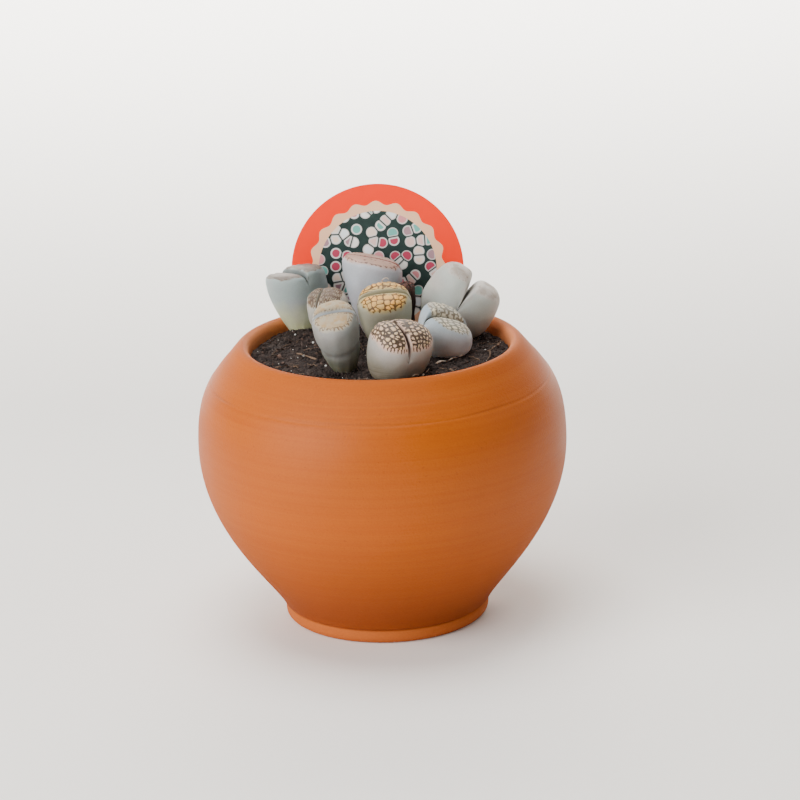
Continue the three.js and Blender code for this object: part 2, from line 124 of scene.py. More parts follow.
# The heads, with what differs from the defaults in their settings. Lengths are mm, angles
# degrees, shares are of the head's own sizes, and a pair is for the lobe behind and the lobe ahead.
HEADS = [
    dict(
        name="lithops_far_left", slot="skin_blue_grey",
        foot=(-30, 32.7), crown=(-34.8, 27.1, 137.8), turn=30, half_length=12.5, lobes=(11.5, 13.2),
        waist=0.42, flare=1, spread=(1, 2), summit=0.5, round_along=3.8, round_out=3.4,
        rise=(0, 2.2), draw_in=0.02, tip=(-0.25, -0.27),
        window_from=(0.3, 0.3), window_across=(0.98, 0.98), window_along=(0.98, 0.98), cell=2.6,
        stretch=(1, 2.2), line_inside=0.05, line_margin=0.35, teeth=0.8, relief=0.2,
        freckles=0.3, flush=0.6, margin_width=0.7, blend=2.0, lip_width=-0.8, foot_height=0.62,
        # Painted light: the foot colour is the base's own yellow-green, made lighter still where
        # the small head's shadow falls.
        foot_colour="#d0d494", side_colour="#8e9a98", flush_colour="#9f9298",
        margin_colour="#82796f", island_colour="#6f675f", line_colour="#5d5148",
        lip_colour="#6e7472",
    ),
    dict(
        name="lithops_small_wrinkled", slot="skin_cream",
        foot=(-18.5, 4), crown=(-23.4, -2, 136.5), turn=-15, half_length=9, lobes=(6, 10.5),
        waist=0.42, flare=1, round_in=8, wrinkle=0.35,
        window_from=(0.5, 0.5), window_across=(1.0, 1.0), window_along=(1.0, 1.0), cell=1.4,
        stretch=(0.6, 2.2), line_inside=0.65, relief=0.3,
        lip_width=-1.5,
        # Painted shade: the foot colour is darkened where shade falls between the heads at the
        # soil.
        foot_colour="#8d8a6e", side_colour="#97948a", margin_colour="#a1957f",
        island_colour="#75624f", line_colour="#523f30", lip_colour="#a39585",
    ),
    dict(
        name="lithops_tall", slot="skin_green_grey",
        foot=(-13.5, -24), crown=(-18.2, -31, 137.2), turn=90, half_length=9.2, lobes=(10.5, 7.5),
        cleft=5, waist=0.38, round_out=2.1, rise=(0, 1), tip=(0.25, 0), wrinkle=0.15, crease=0.45,
        crease_at=0.58,
        window_from=(1.3, -1.0), window_across=(0.92, 0.95), window_along=(0.95, 0.95), cell=1.5,
        line_inside=-0.2, line_margin=0.42, teeth=1.7, tooth_pitch=1.9, relief=0.12,
        margin_width=2.2, blend=3.0, lip_width=-1.0, foot_height=0.5,
        foot_colour="#575b34", side_colour="#6e706c", margin_colour="#a09a88",
        island_colour="#a0845c", line_colour="#6e5844", lip_colour="#a9aeb0",
    ),
    dict(
        name="lithops_back", slot="skin_lilac",
        foot=(-2, 27), crown=(-2, 30, 142.4), turn=88, half_length=12.3, lobes=(11, 11), cleft=4,
        waist=0.3, flare=1, spread=(3, 3), summit=0.4, round_along=3, round_out=2.3, tip=(0, 0.22),
        window_from=(0.4, 0.4), window_across=(0.97, 0.97), window_along=(0.97, 0.97), cell=1.5,
        line_inside=-0.3, line_margin=0.42, teeth=1.6, tooth_pitch=2.3, relief=0.1,
        freckles=1.0, flush=0.4, margin_width=2.4, blend=2.0, lip_width=0.5, foot_height=0.5,
        # Painted shade: the foot colour is darkened where shade falls between the heads at the
        # soil.
        foot_colour="#75675c", side_colour="#a9acb1", flush_colour="#c0b0b4",
        margin_colour="#b39587", island_colour="#b1917f", line_colour="#6f5144",
        lip_colour="#7a4c40",
    ),
    dict(
        name="lithops_centre", slot="skin_yellow",
        foot=(4, 9), crown=(2, -3, 136.8), turn=92, lobes=(10, 9), spread=(3, 3),
        window_from=(1.9, 1.9), window_across=(1.12, 1.12), window_along=(1.0, 1.02), cell=2.9,
        line_inside=0.45, line_margin=0.6, teeth=2.2, tooth_pitch=3.0, relief=0.22,
        margin_width=3.0, blend=2.0, lip_width=0.6, foot_height=0.5,
        # Painted shade: the foot colour is darkened where shade falls between the heads at the
        # soil.
        foot_colour="#565140", side_colour="#a39f8a", margin_colour="#b09a62",
        island_colour="#e5a650", line_colour="#5f4018", lip_colour="#8f876b",
    ),
    dict(
        name="lithops_front", slot="skin_spotted",
        foot=(3.9, -31.3), crown=(8.2, -36.4, 131.8), turn=28, half_length=11.3, lobes=(11.1, 15.6),
        cleft=11, gap=0.15, waist=0.65, flare=0.6, spread=(3, 3), summit=0.22, round_in=10,
        window_from=(0.5, 0.5), window_across=(1.25, 1.15), window_along=(1.32, 1.3), cell=2.55,
        line_inside=0.95, line_margin=1.05, teeth=2.2, tooth_pitch=2.1, relief=0.2,
        # Painted shade: the foot colour is darkened where shade falls at the soil, and the dark lip
        # colour deep in the cleft is painted shade there.
        margin_width=3.2, lip_width=-1.2, foot_height=0.7,
        foot_colour="#4d4412", side_colour="#9a968f", margin_colour="#c2a08c",
        island_colour="#c2a67e", line_colour="#3d2f22", lip_colour="#4a342c",
    ),
    dict(
        name="lithops_right", slot="skin_blue_grey",
        foot=(24, -5.5), crown=(28.2, -9, 127.2), turn=122, half_length=12, lobes=(11, 11), cleft=7,
        spread=(3, 3), rise=(0, 1.6), tip=(0.15, 0.3),
        window_from=(-2.5, -2.5), window_across=(0.85, 1.1), window_along=(0.8, 0.8), cell=2.05,
        stretch=(0.8, 1.5), line_inside=0.55, teeth=1.4, tooth_pitch=2.0, relief=0.18,
        # Painted light and shade: the near-white foot colour brightens the lower body that the
        # front head shades, the side colour is darkened for the shade of its neighbours, and the
        # dark lip colour deep in the cleft is painted shade.
        blend=1.5, lip_width=-2.5, foot_height=0.95,
        foot_colour="#f2f6f4", side_colour="#94a1a9", margin_colour="#aeb0a8",
        island_colour="#dccfb2", line_colour="#7a7364", lip_colour="#5c564c",
    ),
    dict(
        name="lithops_far_right", slot="skin_chalky",
        foot=(24, 20), crown=(39.8, 18, 135.2), turn=-8, half_length=11.5, lobes=(15.6, 15),
        cleft=14, waist=0.4, flare=0.95, spread=(0, 3), summit=0.47, round_along=3.2, round_out=2.7,
        round_in=4.5, rise=(1.2, 0.1),
        window_from=(0.8, 0.8), window_across=(0.98, 0.98), cell=2.8, line_inside=-0.3,
        line_margin=0.15, teeth=0.6, relief=0.05,
        freckles=1.0, flush=0.7, blend=4.0, foot_height=0.5,
        foot_colour="#6e6e62", side_colour="#a8aba3", flush_colour="#b5a59c",
        margin_colour="#b9b3ab", island_colour="#9a8d80", line_colour="#6e564b",
        lip_colour="#a8a49d",
    ),
    dict(
        name="withered_head", slot="dried_leaf",
        foot=(11, 20.5), crown=(11.6, 19.5, 134), turn=40, half_length=3.6, lobes=(3.8, 3.6),
        cleft=3, waist=0.8, spread=(6, 6), wrinkle=0.5,
        window_from=(0.2, 0.2), cell=1.6, stretch=(1, 2), line_inside=0.6, line_margin=0.6,
        teeth=1.5, relief=0.4,
        # Painted shadow: the near-black foot colour reaches almost to the top and stands for the
        # shadow below the dark brown remains.
        foot_height=0.95,
        foot_colour="#1f1512", side_colour="#3a221b", margin_colour="#5d3529",
        island_colour="#57362b", line_colour="#21130f", lip_colour="#3a211b",
    ),
]

SHEATHS = [
    dict(name="dried_sheath_right", head="lithops_right", start=140, end=235, height=1.8),
    dict(name="dried_sheath_front", head="lithops_front", start=-56, end=-30, height=5.6),
]

# Dry wisps: the strand's width and thickness, and the points of its path, in mm
WISPS = [
    (
        "wisp_on_centre", 0.9, 0.35,
        (1.5, 4, 138.2), (2.2, 4.2, 139.6), (3.6, 4.4, 140.2), (4.6, 4.2, 139.4),
    ),
    ("wisp_under_right", 1.2, 0.35, (22, -22.8, 111.5), (24, -21, 112.1), (26.5, -19.6, 111.6)),
    ("wisp_beside_right", 0.9, 0.3, (27.4, -19, 111.7), (29.2, -17.2, 112.2), (31, -15.8, 111.7)),
    ("wisp_far_right", 0.7, 0.3, (31.8, -14.6, 111.7), (33, -13.4, 112.1), (34, -12, 111.6)),
    (
        "thread_by_front", 0.6, 0.3,
        (16.8, -22, 112), (16.4, -27.5, 112.2), (15.4, -33, 111.8), (14.6, -37, 111.6),
    ),
    ("wisp_by_front", 1.7, 0.35, (12, -39.2, 111.5), (13.5, -38.6, 112.3), (15, -37.8, 111.6)),
]


def linear(code):
    """Turns a web colour into linear red, green and blue."""
    shares = [int(code[i : i + 2], 16) / 255 for i in (1, 3, 5)]
    return tuple(s / 12.92 if s <= 0.04045 else ((s + 0.055) / 1.055) ** 2.4 for s in shares)


def smooth(share):
    """Rises smoothly from 0 to 1 as share does."""
    s = np.clip(share, 0, 1)
    return s * s * (3 - 2 * s)


def chance(i, j, seed):
    """A fixed pseudo-random value from 0 to 1 for each pair of whole numbers."""
    s = np.sin(i * 127.1 + j * 311.7 + seed * 74.7) * 43758.5453
    return s - np.floor(s)


def lumps(x, y, size, seed):
    """Soft random hills from -1 to 1 that are about size apart."""
    i = np.floor(x / size)
    j = np.floor(y / size)
    u = smooth(x / size - i)
    v = smooth(y / size - j)
    low = chance(i, j, seed) * (1 - u) + chance(i + 1, j, seed) * u
    high = chance(i, j + 1, seed) * (1 - u) + chance(i + 1, j + 1, seed) * u
    return 2 * (low * (1 - v) + high * v) - 1


def bezier(corners, count):
    """Points of a cubic curve, both ends included."""
    t = np.linspace(0, 1, count + 1)[:, None]
    a, b, c, d = (np.array(corner, float) for corner in corners)
    return (1 - t) ** 3 * a + 3 * (1 - t) ** 2 * t * b + 3 * (1 - t) * t * t * c + t**3 * d


def join_curves(curves, counts):
    """Points of several curves in a row."""
    parts = [bezier(corners, count) for corners, count in zip(curves, counts)]
    return np.vstack([parts[0]] + [part[1:] for part in parts[1:]])


def new_object(name, mesh):
    """Puts a mesh, a lamp or a camera in the scene as an object."""
    made = bpy.data.objects.new(name, mesh)
    bpy.context.scene.collection.objects.link(made)
    return made


def grid_faces(rows, columns, wrap_rows=False, wrap_columns=False):
    """Corner numbers of the four-sided faces of a grid of points, row by row."""
    r = np.arange(rows if wrap_rows else rows - 1)[:, None]
    c = np.arange(columns if wrap_columns else columns - 1)[None, :]
    up = (r + 1) % rows
    on = (c + 1) % columns
    corners = [r * columns + c, r * columns + on, up * columns + on, up * columns + c]
    return np.stack(np.broadcast_arrays(*corners), -1).reshape(-1, 4)


def mesh_from(name, points, faces, values=None):
    """A smooth-shaded mesh from points and faces, with named values at its points."""
    mesh = bpy.data.meshes.new(name)
    mesh.from_pydata(points.tolist(), [], faces.tolist())
    for key, value in (values or {}).items():
        layer = mesh.attributes.new(key, "FLOAT", "POINT")
        layer.data.foreach_set("value", np.ascontiguousarray(value, np.float32).ravel())
    mesh.shade_smooth()
    return mesh


def end_rings(rows, columns):
    """Point numbers of the first and the last row of a grid of points."""
    return [range(row * columns, (row + 1) * columns) for row in (0, rows - 1)]


def sealed(mesh, caps, weld=0.0):
    """Closes a mesh with faces on the given points, and turns all its faces outwards."""
    shell = bmesh.new()
    shell.from_mesh(mesh)
    shell.verts.ensure_lookup_table()
    for cap in caps:
        shell.faces.new([shell.verts[k] for k in cap])
    if weld:
        bmesh.ops.remove_doubles(shell, verts=shell.verts, dist=weld)
    bmesh.ops.recalc_face_normals(shell, faces=shell.faces)
    shell.to_mesh(mesh)
    shell.free()
    mesh.shade_smooth()
    return mesh


def settle(piece, material, slot, *nodes):
    """Gives a piece its material and body, and hides the CAD nodes it stands for. Its slot is not
    used.
    """
    if material is not None:
        piece.data.materials.clear()
        piece.data.materials.append(material)
    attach(piece, "root")
    if nodes:
        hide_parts(*nodes)


# Helpers for node trees


def add(tree, kind, inputs=None, **settings):
    """Adds a node. An input given as a socket is linked, and any other value is set."""
    made = tree.nodes.new(kind)
    for key, value in settings.items():
        setattr(made, key, value)
    for key, value in (inputs or {}).items():
        if isinstance(value, bpy.types.NodeSocket):
            tree.links.new(value, made.inputs[key])
        else:
            made.inputs[key].default_value = value
    return made


def home(*values):
    """The node tree that the sockets among some values belong to."""
    return next(value.id_data for value in values if isinstance(value, bpy.types.NodeSocket))


def maths(operation, a, b=0.0):
    """The result of a Math node."""
    return add(home(a, b), "ShaderNodeMath", {0: a, 1: b}, operation=operation).outputs[0]


def plus(a, b):
    """The sum of two values."""
    return maths("ADD", a, b)


def minus(a, b):
    """One value less another."""
    return maths("SUBTRACT", a, b)


def times(a, b):
    """The product of two values."""
    return maths("MULTIPLY", a, b)


def swing(value, amount):
    """A noise value moved to lie about zero, and scaled."""
    return times(minus(value, 0.5), amount)


def vector_maths(operation, a, b=(0, 0, 0), scale=1.0):
    """The result of a Vector Math node, which is a number for a length or a dot product."""
    inputs = {0: a, 1: b, 3: scale}
    made = add(home(a), "ShaderNodeVectorMath", inputs, operation=operation)
    return made.outputs["Value" if operation in ("LENGTH", "DOT_PRODUCT") else "Vector"]


def mix(factor, a, b):
    """The colour between two colours."""
    inputs = {0: factor, 6: a, 7: b}
    return add(home(factor, a, b), "ShaderNodeMix", inputs, data_type="RGBA").outputs[2]


def ranged(value, low, high, to_low=0.0, to_high=1.0):
    """A value moved from one range to another, and held inside it."""
    inputs = {0: value, 1: low, 2: high, 3: to_low, 4: to_high}
    return add(home(value), "ShaderNodeMapRange", inputs, clamp=True).outputs[0]


def noise(vector, scale, detail=3, roughness=0.5):
    """The grey value of a Noise Texture."""
    inputs = {"Vector": vector, "Scale": scale, "Detail": detail, "Roughness": roughness}
    return add(home(vector), "ShaderNodeTexNoise", inputs).outputs[0]


def stretched(vector, scale):
    """Coordinates with a scale of their own along each axis."""
    return add(home(vector), "ShaderNodeMapping", {"Vector": vector, "Scale": scale}).outputs[0]


def attribute(tree, name):
    """A named value that a mesh carries at its points."""
    return add(tree, "ShaderNodeAttribute", attribute_name=name).outputs["Fac"]


def opaque(colour):
    """A colour with its alpha."""
    return (*colour, 1.0)


def new_group(name, inputs, outputs):
    """A shader node group with named inputs (name, kind, default) and outputs (name, kind)."""
    tree = bpy.data.node_groups.new(name, "ShaderNodeTree")
    for label, kind, default in inputs:
        socket = tree.interface.new_socket(label, in_out="INPUT", socket_type=f"NodeSocket{kind}")
        socket.default_value = default
    for label, kind in outputs:
        tree.interface.new_socket(label, in_out="OUTPUT", socket_type=f"NodeSocket{kind}")
    return tree, tree.nodes.new("NodeGroupInput").outputs


def put_out(tree, **outputs):
    """Links values to a group's output sockets."""
    made = tree.nodes.new("NodeGroupOutput")
    for label, value in outputs.items():
        tree.links.new(value, made.inputs[label])


def new_material(name, roughness, specular):
    """A material with a Principled shader, and its shader and object coordinates."""
    material = bpy.data.materials.new(name)
    material.use_nodes = True
    tree = material.node_tree
    tree.nodes.clear()
    inputs = {"Roughness": roughness, "Specular IOR Level": specular}
    shader = add(tree, "ShaderNodeBsdfPrincipled", inputs)
    add(tree, "ShaderNodeOutputMaterial", {"Surface": shader.outputs[0]})
    place = add(tree, "ShaderNodeTexCoord").outputs["Object"]
    return material, shader, place


def use_group(tree, group, **values):
    """The outputs of a node group placed in a tree. Underscores in the names stand for spaces."""
    inputs = {key.replace("_", " "): value for key, value in values.items()}
    return add(tree, "ShaderNodeGroup", inputs, node_tree=group).outputs


def paint(shader, colour, height=None, depth=0.0):
    """Gives a shader its colour, and lets a height value tilt its normal."""
    tree = shader.id_data
    tree.links.new(colour, shader.inputs["Base Color"])
    if height is not None:
        tilt = add(tree, "ShaderNodeBump", {"Height": height, "Distance": depth, "Strength": 1.0})
        tree.links.new(tilt.outputs[0], shader.inputs["Normal"])


def mottle_group():
    """Soft patches and fine grain that several finishes share."""
    known = bpy.data.node_groups.get("Mottle")
    if known:
        return known
    tree, given = new_group(
        "Mottle",
        [
            ("Vector", "Vector", (0, 0, 0)),
            ("Colour", "Color", (1, 1, 1, 1)),
            ("Patch Scale", "Float", 60.0),
            ("Patch Amount", "Float", 0.15),
            ("Grain Scale", "Float", 1500.0),
            ("Grain Amount", "Float", 0.1),
        ],
        [("Colour", "Color"), ("Patches", "Float"), ("Grain", "Float")],
    )
    patches = noise(given["Vector"], given["Patch Scale"], 3)
    grain = noise(given["Vector"], given["Grain Scale"], 2)
    level = 1.0
    for value, amount in ((patches, "Patch Amount"), (grain, "Grain Amount")):
        level = plus(times(swing(value, given[amount]), 2.0), level)
    scaled = vector_maths("SCALE", given["Colour"], scale=level)
    put_out(tree, Colour=scaled, Patches=patches, Grain=grain)
    return tree


def mottle(place, colour, patches, grain):
    """A colour with soft patches and fine grain, each given by its scale and its amount."""
    return use_group(
        home(place), mottle_group(), Vector=place, Colour=colour, Patch_Scale=patches[0],
        Patch_Amount=patches[1], Grain_Scale=grain[0], Grain_Amount=grain[1],
    )


def clay_material(pot):
    """Unglazed fired clay with faint rings from the potter's wheel."""
    material, shader, place = new_material("Fired clay", 0.5, 0.17)
    tree = material.node_tree
    deep = opaque(pot.clay_deep)
    rings = noise(stretched(place, (5, 5, 700)), 1.0, 4, 0.6)
    colour = mix(ranged(rings, 0.3, 0.7), opaque(pot.clay), opaque(pot.clay_pale))
    height = add(tree, "ShaderNodeSeparateXYZ", {0: place}).outputs["Z"]
    wobble = swing(noise(place, 14, 1), 3 * MM)
    off_crease = maths("ABSOLUTE", minus(plus(height, wobble), pot.crease_height))
    crease = ranged(off_crease, 0.5 * MM, 0.1 * MM)
    crease = times(crease, ranged(noise(place, 22, 1), 0.42, 0.62))
    # Painted shade: the clay is darkened along the shoulder crease, where shade falls in the
    # groove.
    colour = mix(times(crease, 0.3), colour, deep)
    # Painted shade: the lower belly is darkened more and more towards the foot, where it faces
    # down, as far as the bead.
    towards_foot = ranged(height, 60 * MM, 10 * MM, 0, 0.7)
    above_bead = ranged(height, BEAD_TOP - 0.8 * MM, BEAD_TOP)
    colour = mix(times(towards_foot, above_bead), colour, deep)
    # The inner wall above the soil takes the pale colour of its dust; the same pale tint, faint on
    # the foot bead, is a painted sheen.
    reach = vector_maths("LENGTH", vector_maths("MULTIPLY", place, (1, 1, 0)))
    inside = times(ranged(reach, 55.5 * MM, 53.5 * MM), ranged(height, 100 * MM, 105 * MM))
    dust_and_sheen = maths("MAXIMUM", inside, ranged(height, BEAD_TOP, BEAD_TOP - 0.8 * MM, 0, 0.2))
    colour = mix(dust_and_sheen, colour, opaque(pot.clay_inside))
    mottled = mottle(place, colour, (28, 0.06), (1400, 0.11))
    specks = ranged(noise(place, 900, 1), 0.7, 0.78, 0, 0.35)
    low = ranged(height, 75 * MM, 30 * MM)
    lip = ranged(height, 100 * MM, 113 * MM, 0, 0.6)
    matte = times(maths("MAXIMUM", low, lip), 0.4)
    rough = plus(ranged(mottled["Patches"], 0.3, 0.7, 0.43, 0.5), matte)
    tree.links.new(rough, shader.inputs["Roughness"])
    on_shoulder = ranged(height, 95 * MM, 108 * MM, 0.05, 1.2)
    relief = plus(times(rings, on_shoulder), mottled["Grain"])
    paint(shader, mix(specks, mottled["Colour"], deep), minus(relief, crease), 0.12 * MM)
    return material


def soil_material(soil):
    """Moist potting soil: dark fine crumb with drier patches and pale grit."""
    material, shader, place = new_material("Potting soil", 0.95, 0.15)
    clods = noise(place, 420, 4, 0.65)
    ground = mix(ranged(clods, 0.42, 0.68), opaque(soil.dark), opaque(soil.brown))
    grit = noise(place, 1500, 2)
    flecked = mix(ranged(grit, 0.66, 0.74, 0, 0.6), ground, opaque(soil.pale))
    paint(shader, flecked, plus(clods, grit), 0.6 * MM)
    return material


def crumb_material(name, darkest, palest, roughness):
    """A crumb, flake or fibre whose own tone lies between two colours."""
    material, shader, place = new_material(name, roughness, 0.2)
    tree = material.node_tree
    tone = mix(attribute(tree, "tone"), opaque(darkest), opaque(palest))
    mottled = mottle(place, tone, (700, 0.3), (2500, 0.2))
    paint(shader, mottled["Colour"], mottled["Grain"], 0.3 * MM)
    return material


def skin_group():
    """Colours a head from the values that its mesh carries."""
    known = bpy.data.node_groups.get("Plant skin")
    if known:
        return known
    tree, given = new_group(
        "Plant skin",
        [
            ("Vector", "Vector", (0, 0, 0)),
            ("Foot Height", "Float", 0.25),
            ("Freckles", "Float", 0.0),
            ("Flush", "Float", 0.0),
            *((f"{part} Colour", "Color", (0.4, 0.4, 0.4, 1)) for part in SKIN_PARTS),
        ],
        [("Colour", "Color"), ("Roughness", "Float"), ("Height", "Float")],
    )
    vector = given["Vector"]
    blotch = noise(vector, 160, 3)
    rise = plus(attribute(tree, "rise"), swing(blotch, 0.25))
    at_foot = ranged(rise, given["Foot Height"], 0.0)
    folds = times(noise(stretched(vector, (90, 90, 1500)), 1.0, 2), at_foot)
    flush = times(ranged(noise(vector, 55, 1), 0.45, 0.7), given["Flush"])
    colour = mix(flush, given["Side Colour"], given["Flush Colour"])
    # Towards the soil the skin turns to the foot colour: the base's own tint, darkened on several
    # heads as painted shade and lightened on others as painted light.
    colour = mix(at_foot, colour, given["Foot Colour"])
    colour = mix(ranged(folds, 0.3, 0.6, 0, 0.35), colour, given["Flush Colour"])
    colour = mix(attribute(tree, "margin"), colour, given["Margin Colour"])
    tone = times(attribute(tree, "tone"), 0.7)
    tinted = mix(tone, given["Island Colour"], given["Margin Colour"])
    island = attribute(tree, "island")
    colour = mix(island, colour, tinted)
    line = attribute(tree, "line")
    ragged = plus(line, swing(noise(vector, 1800, 2), 0.5))
    worn = ranged(noise(vector, 900, 2), 0.5, 0.7, 0, 0.2)
    inked = mix(worn, given["Line Colour"], given["Margin Colour"])
    colour = mix(ranged(ragged, 0.25, 0.75), colour, inked)
    # Lip colour: the cleft's own band on some heads, painted shade deep in the cleft on
    # lithops_front and lithops_right.
    colour = mix(attribute(tree, "lip"), colour, given["Lip Colour"])
    dots = add(tree, "ShaderNodeTexVoronoi", {"Vector": vector, "Scale": 420.0}).outputs["Distance"]
    patch = ranged(noise(vector, 220, 2), 0.5, 0.62)
    speck = times(times(ranged(dots, 0.26, 0.14), patch), island)
    colour = mix(times(speck, given["Freckles"]), colour, given["Line Colour"])
    mottled = mottle(vector, colour, (170, 0.14), (2000, 0.11))
    rough = ranged(line, 0.0, 1.0, 0.58, 0.5)
    height = plus(plus(mottled["Grain"], times(blotch, 0.6)), times(folds, 2.0))
    put_out(tree, Colour=mottled["Colour"], Roughness=rough, Height=height)
    return tree


def skin_material(head):
    """A head's waxy skin in its own set of colours, which on several heads hold painted shade and
    painted light.
    """
    material, shader, place = new_material(f"Skin of {head.name}", 0.6, 0.35)
    tree = material.node_tree
    tints = {
        f"{part}_Colour": opaque(getattr(head, f"{part.lower()}_colour")) for part in SKIN_PARTS
    }
    skin = use_group(
        tree, skin_group(), Vector=place, Foot_Height=head.foot_height, Freckles=head.freckles,
        Flush=head.flush, **tints,
    )
    tree.links.new(skin["Roughness"], shader.inputs["Roughness"])
    shader.inputs["Subsurface Weight"].default_value = 0.25
    shader.inputs["Subsurface Radius"].default_value = (1.0, 0.8, 0.5)
    shader.inputs["Subsurface Scale"].default_value = 2 * MM
    paint(shader, skin["Colour"], skin["Height"], 0.04 * MM)
    return material


def print_material(label):
    """The printed front of the label: round pebbles in a scalloped ring on a bright ground."""
    material, shader, place = new_material("Printed label", 0.45, 0.2)
    tree = material.node_tree
    tilt = math.radians(90) - label.lean
    offset = vector_maths("SUBTRACT", place, label.centre)
    across = add(tree, "ShaderNodeSeparateXYZ", {0: offset}).outputs["X"]
    upward = vector_maths("DOT_PRODUCT", offset, (0, math.cos(tilt), math.sin(tilt)))
    flat = add(tree, "ShaderNodeCombineXYZ", {0: across, 1: upward}).outputs[0]
    radius = vector_maths("LENGTH", flat)
    scallop = maths("COSINE", times(maths("ARCTAN2", upward, across), SCALLOPS))
    edge = plus(times(scallop, 0.8 * MM), label.inset + 3.4 * MM)
    pebbles = {"Vector": flat, "Scale": 1 / label.pebble, "Randomness": 0.85}
    cells, borders = (
        add(tree, "ShaderNodeTexVoronoi", pebbles, voronoi_dimensions="2D", feature=feature).outputs
        for feature in ("F1", "DISTANCE_TO_EDGE")
    )
    depth = maths("MINIMUM", borders["Distance"], minus(0.52, cells["Distance"]))
    parts = add(tree, "ShaderNodeSeparateColor", {0: cells["Color"]}).outputs
    ramp = add(tree, "ShaderNodeValToRGB", {0: parts[0]})
    ramp.color_ramp.interpolation = "CONSTANT"
    stops = ramp.color_ramp.elements
    for k, code in enumerate(PEBBLE_TINTS):
        stop = stops.new(k / len(PEBBLE_TINTS)) if k else stops[0]
        stop.color = opaque(linear(code))
    stops.remove(stops[-1])
    core = ranged(minus(depth, times(parts[1], 0.12)), 0.08, 0.14)
    shaded = mix(core, (0.8, 0.77, 0.73, 1), ramp.outputs[0])
    shaded = mix(ranged(depth, 0.13, 0.05, 0, 0.55), shaded, (0.12, 0.1, 0.1, 1))
    gravel = mix(noise(flat, 300, 2), (0.012, 0.02, 0.022, 1), (0.03, 0.06, 0.05, 1))
    picture = mix(ranged(depth, 0.035, 0.06), gravel, shaded)
    colour = mix(maths("LESS_THAN", radius, edge), opaque(label.ground), opaque(label.band))
    colour = mix(maths("LESS_THAN", radius, label.inset), colour, picture)
    paint(shader, colour, noise(place, 500, 2), 0.02 * MM)
    return material


def card_material():
    """The plain white plastic of the label's back, edge and stake."""
    material, shader, place = new_material("White label plastic", 0.4, 0.4)
    mottled = mottle(place, (0.8, 0.79, 0.76, 1), (30, 0.03), (900, 0.03))
    paint(shader, mottled["Colour"], mottled["Grain"], 0.03 * MM)
    return material


def papery_material(name, pale, brown):
    """Dry leaf skin: thin, fibrous and streaked."""
    material, shader, place = new_material(name, 0.75, 0.25)
    streaks = noise(stretched(place, (900, 900, 260)), 1.0, 3)
    colour = mix(ranged(streaks, 0.35, 0.65), opaque(brown), opaque(pale))
    mottled = mottle(place, colour, (400, 0.25), (2500, 0.15))
    paint(shader, mottled["Colour"], streaks, 0.2 * MM)
    return material


def stage_material(colour):
    """The pale matte floor."""
    material, shader, place = new_material("Pale floor", 0.9, 0.1)
    paint(shader, mottle(place, opaque(colour), (2, 0.01), (300, 0.01))["Colour"])
    return material


# The pot


def pot_mesh(pot):
    """The pot as one turned wall, with finger rings and the crease round its shoulder."""
    outside = join_curves(POT_OUTSIDE, POT_STEPS) * MM
    inside = join_curves(POT_INSIDE, [20, 24]) * MM
    foot = np.array([(pot.drain_radius, 0), (15 * MM, 0), (30 * MM, 0)])
    floor = np.array([(20 * MM, POT_FLOOR), (pot.drain_radius, POT_FLOOR)])
    profile = np.vstack([foot, outside, inside, floor])
    radius, z = profile[:, :1], profile[:, 1:]
    on_wall = np.zeros_like(z)
    first, last = sum(POT_STEPS[:3]), sum(POT_STEPS[-2:])
    on_wall[len(foot) + first : len(foot) + len(outside) - last] = 1
    angle = np.linspace(0, 2 * np.pi, POT_SEGMENTS, endpoint=False)[None, :]
    wander = 0.4 * MM * np.sin(angle) + 0.3 * MM * np.sin(2 * angle + 1)
    rings = 0.5 + 0.3 * np.sin((z + wander) / pot.ring_spacing)
    rings = rings + 0.2 * lumps(z + wander, 0 * angle, 2.6 * MM, 4)
    rings = rings * (0.1 + 0.9 * smooth((z - 92 * MM) / (12 * MM)))
    crease_z = pot.crease_height + 0.5 * MM * np.sin(angle + 0.6)
    crease = np.exp(-(((z - crease_z) / (0.35 * MM)) ** 2))
    fading = smooth((pot.crease_height + 7 * MM - z) / (6 * MM))
    step = 0.12 * MM * smooth((z - crease_z) / (0.6 * MM)) * fading
    radius = radius - on_wall * (pot.ring_depth * rings + pot.crease_depth * crease + step)
    points = [radius * np.cos(angle), radius * np.sin(angle), z + 0 * angle]
    faces = grid_faces(len(profile), POT_SEGMENTS, wrap_rows=True, wrap_columns=True)
    return mesh_from("pot_fired", np.stack(points, -1).reshape(-1, 3), faces)


# The soil


def soil_height(x, y):
    """The level of the soil, with its mound, its heap and its soft lumps."""
    out = np.minimum(np.hypot(x, y) / THROAT_RADIUS, 1)
    heap = HEAP_HEIGHT * np.exp(-((x - HEAP_AT[0]) ** 2 + (y - HEAP_AT[1]) ** 2) / HEAP_WIDTH**2)
    lump = SOIL_LUMP * lumps(x, y, LUMP_SIZE, 1) * np.minimum(1, 4 * (1 - out))
    return SOIL_EDGE_Z + SOIL_MOUND * (1 - out**4) + heap + lump


def crumbled(x, y):
    """Small clods on the soil's surface."""
    big = lumps(x, y, 2.6 * MM, 11)
    small = lumps(x + 9 * MM, y, 1.1 * MM, 12)
    fine = lumps(x, y + 9 * MM, 0.55 * MM, 13)
    return 0.5 * MM * big + 0.35 * MM * small + 0.15 * MM * fine


def soil_disc(radii, segments, z_of):
    """Points of rings round the axis."""
    angle = np.linspace(0, 2 * np.pi, segments, endpoint=False)[None, :]
    radii = np.asarray(radii)[:, None]
    x, y = radii * np.cos(angle), radii * np.sin(angle)
    return np.stack([x, y, z_of(x, y)], -1).reshape(-1, 3)


